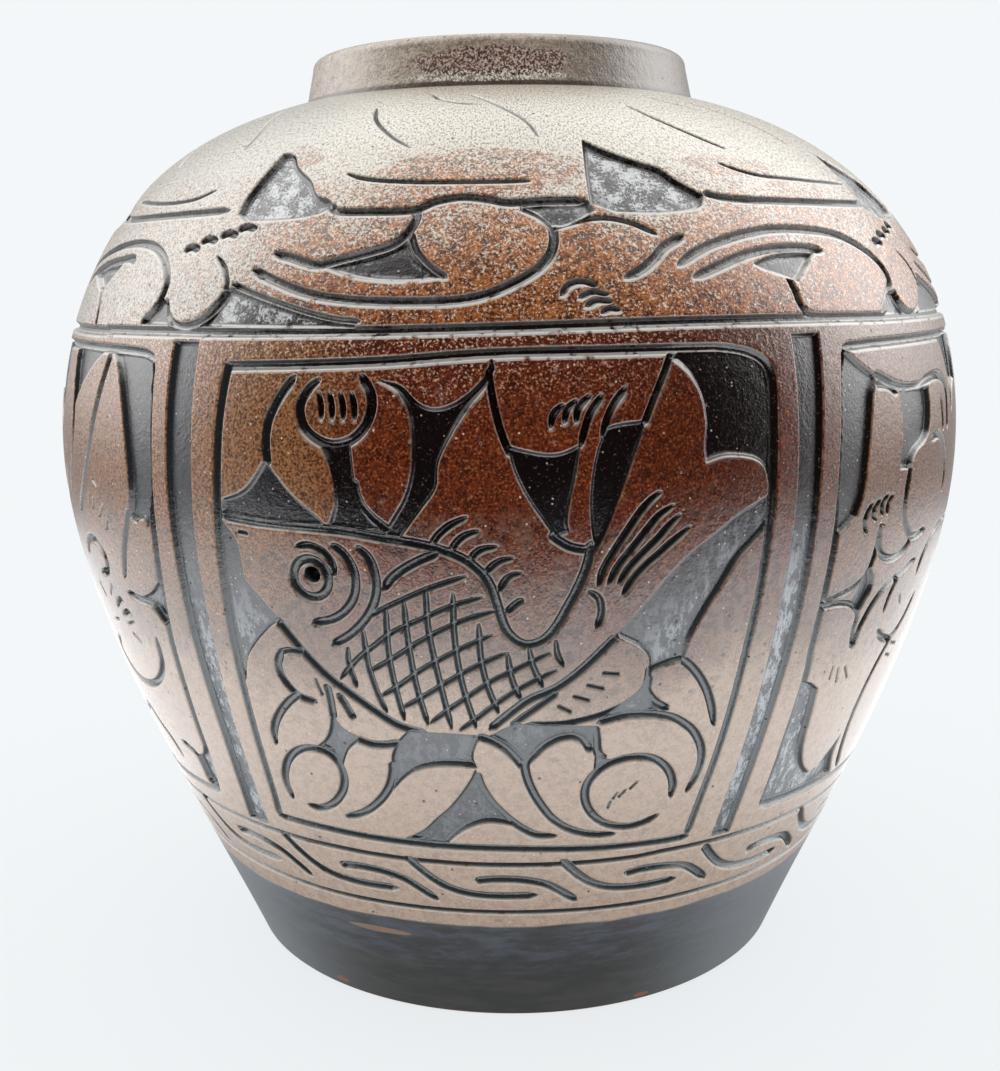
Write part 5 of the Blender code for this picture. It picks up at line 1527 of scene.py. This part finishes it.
# %% [markdown]
# ## Stage and light
#
# The jar stands on a white table in soft white light: bright above and at both sides, plain white behind, and
# dark in front, where the photographer stands beyond the table's edge. So the middle of the jar shows the
# glaze's own colour, the table veils the lower wall, and the lamps veil the sides and the shoulder.

# %% Floor
BACKGROUND = srgb(243, 247, 249)
FLOOR_WHITE = srgb(226, 230, 232)
FLOOR_REACH = 3.0
FLOOR_FRONT = -0.37
FLOOR_NEAR_SHARE = 0.85
FLOOR_GLOSS = 1.8
FLOOR_PAINTED_SHADOW = 0.36
FLOOR_FAR = 0.45
FLOOR_COOL = (0.95, 0.975, 1, 1)

floor_recipe = Recipe(bpy.data.materials.new("floor_white"))
floor_recipe.finish(Base_Color=FLOOR_WHITE, Roughness=0.9)
rays = floor_recipe.node("ShaderNodeLightPath")
length = floor_recipe.node("ShaderNodeVectorMath", {"operation": "LENGTH"}, {0: floor_recipe.place})
spot = length.number("Value")


def glow(colour, strength):
    return floor_recipe.node("ShaderNodeEmission", {}, {"Color": colour, "Strength": strength}).number()


def blend(factor, first, second):
    return floor_recipe.node("ShaderNodeMixShader", {}, {0: factor, 1: first, 2: second}).number()


far = spot.ease(0.16, 0.5) * (1 - FLOOR_NEAR_SHARE) + FLOOR_NEAR_SHARE
clay_like = Number(floor_recipe, floor_recipe.shader.outputs[0])
seen = blend(rays.number("Is Camera Ray") * far, clay_like, glow(BACKGROUND, 1.0))
# The floor glows as the glaze mirrors it; the dimmer glow near the jar is a painted shadow.
mirrored_floor_glow = blend(spot.ease(0.10, 0.19), glow(FLOOR_COOL, FLOOR_PAINTED_SHADOW), glow(FLOOR_COOL, FLOOR_GLOSS))
mirrored_floor_glow = blend(spot.ease(0.45, 0.85), mirrored_floor_glow, glow(FLOOR_COOL, FLOOR_FAR))
floor_out = floor_recipe.tree.nodes["Material Output"].inputs["Surface"]
floor_recipe.feed(floor_out, blend(rays.number("Is Glossy Ray"), seen, mirrored_floor_glow))

deselect_all()
bpy.ops.mesh.primitive_plane_add(size=2)
floor = bpy.context.object
floor.name = "floor"
corners = corners_of(floor.data) * [FLOOR_REACH, FLOOR_REACH, 0]
corners[:, 1] = np.where(corners[:, 1] < 0, FLOOR_FRONT, corners[:, 1])
floor.data.vertices.foreach_set("co", corners.ravel())
floor.data.materials.append(floor_recipe.owner)

# %% [markdown]
# The room is a sky of soft lamps. What a mirror would see and what lights the clay are set apart, so that the
# veils on the glaze can be strong while its colours stay as written.

# %% World
FRONT_DARK = 0.02
WALLS = 1.2
SIDE_LAMPS = 2.0
TOP_LAMPS = 1.1

world = bpy.data.worlds.new("studio")
bpy.context.scene.world = world
sky = Recipe(world)
background = sky.tree.nodes["Background"]
toward = sky.node("ShaderNodeTexCoord").number("Generated")
split = sky.node("ShaderNodeSeparateXYZ", {}, {0: toward})
sideways, away, above = (split.number(axis) for axis in range(3))
rays = sky.node("ShaderNodeLightPath")
is_mirrored = rays.number("Is Glossy Ray")
is_seen = rays.number("Is Camera Ray")


def either(share, first, second):
    """A number between two others."""
    inputs = {0: share, 2: first, 3: second}
    return sky.node("ShaderNodeMix", {"data_type": "FLOAT"}, inputs).number(0)


raised = above.ease(0.02, 0.32)
side_lamps = away.ease(-0.42, 0.10) * away.ease(1.0, 0.3) * above.ease(0.95, 0.55)
side_lamps = side_lamps * (raised * (sideways.ease(-0.3, 0.6) * 0.5 + 0.4) + 0.4)
off_middle = sky.node("ShaderNodeMath", {"operation": "ABSOLUTE"}, {0: sideways}).number()
top_lamps = above.ease(0.50, 0.75) * away.ease(-0.62, -0.25) * (off_middle.ease(0.02, 0.35) * 0.4 + 0.6)
walls = away.ease(-0.4, 0.1) * (1 - above.ease(0.4, 0.8) * 0.5) * (1 - away.ease(0.4, 0.95) * 0.6)
mirrored = walls * WALLS + side_lamps * SIDE_LAMPS + top_lamps * TOP_LAMPS + FRONT_DARK
lighting = away.ease(-1.0, 0.2) * 0.45 + above.ease(-0.2, 1.0) * 0.65 + 0.35
sky.feed(background.inputs["Strength"], either(is_seen, either(is_mirrored, lighting, mirrored), 1.0))
sky.feed(background.inputs["Color"], sky.mix(is_seen, (1, 1, 1, 1), BACKGROUND))
print("side lamps", SIDE_LAMPS, "top lamps", TOP_LAMPS, "as mirrored")
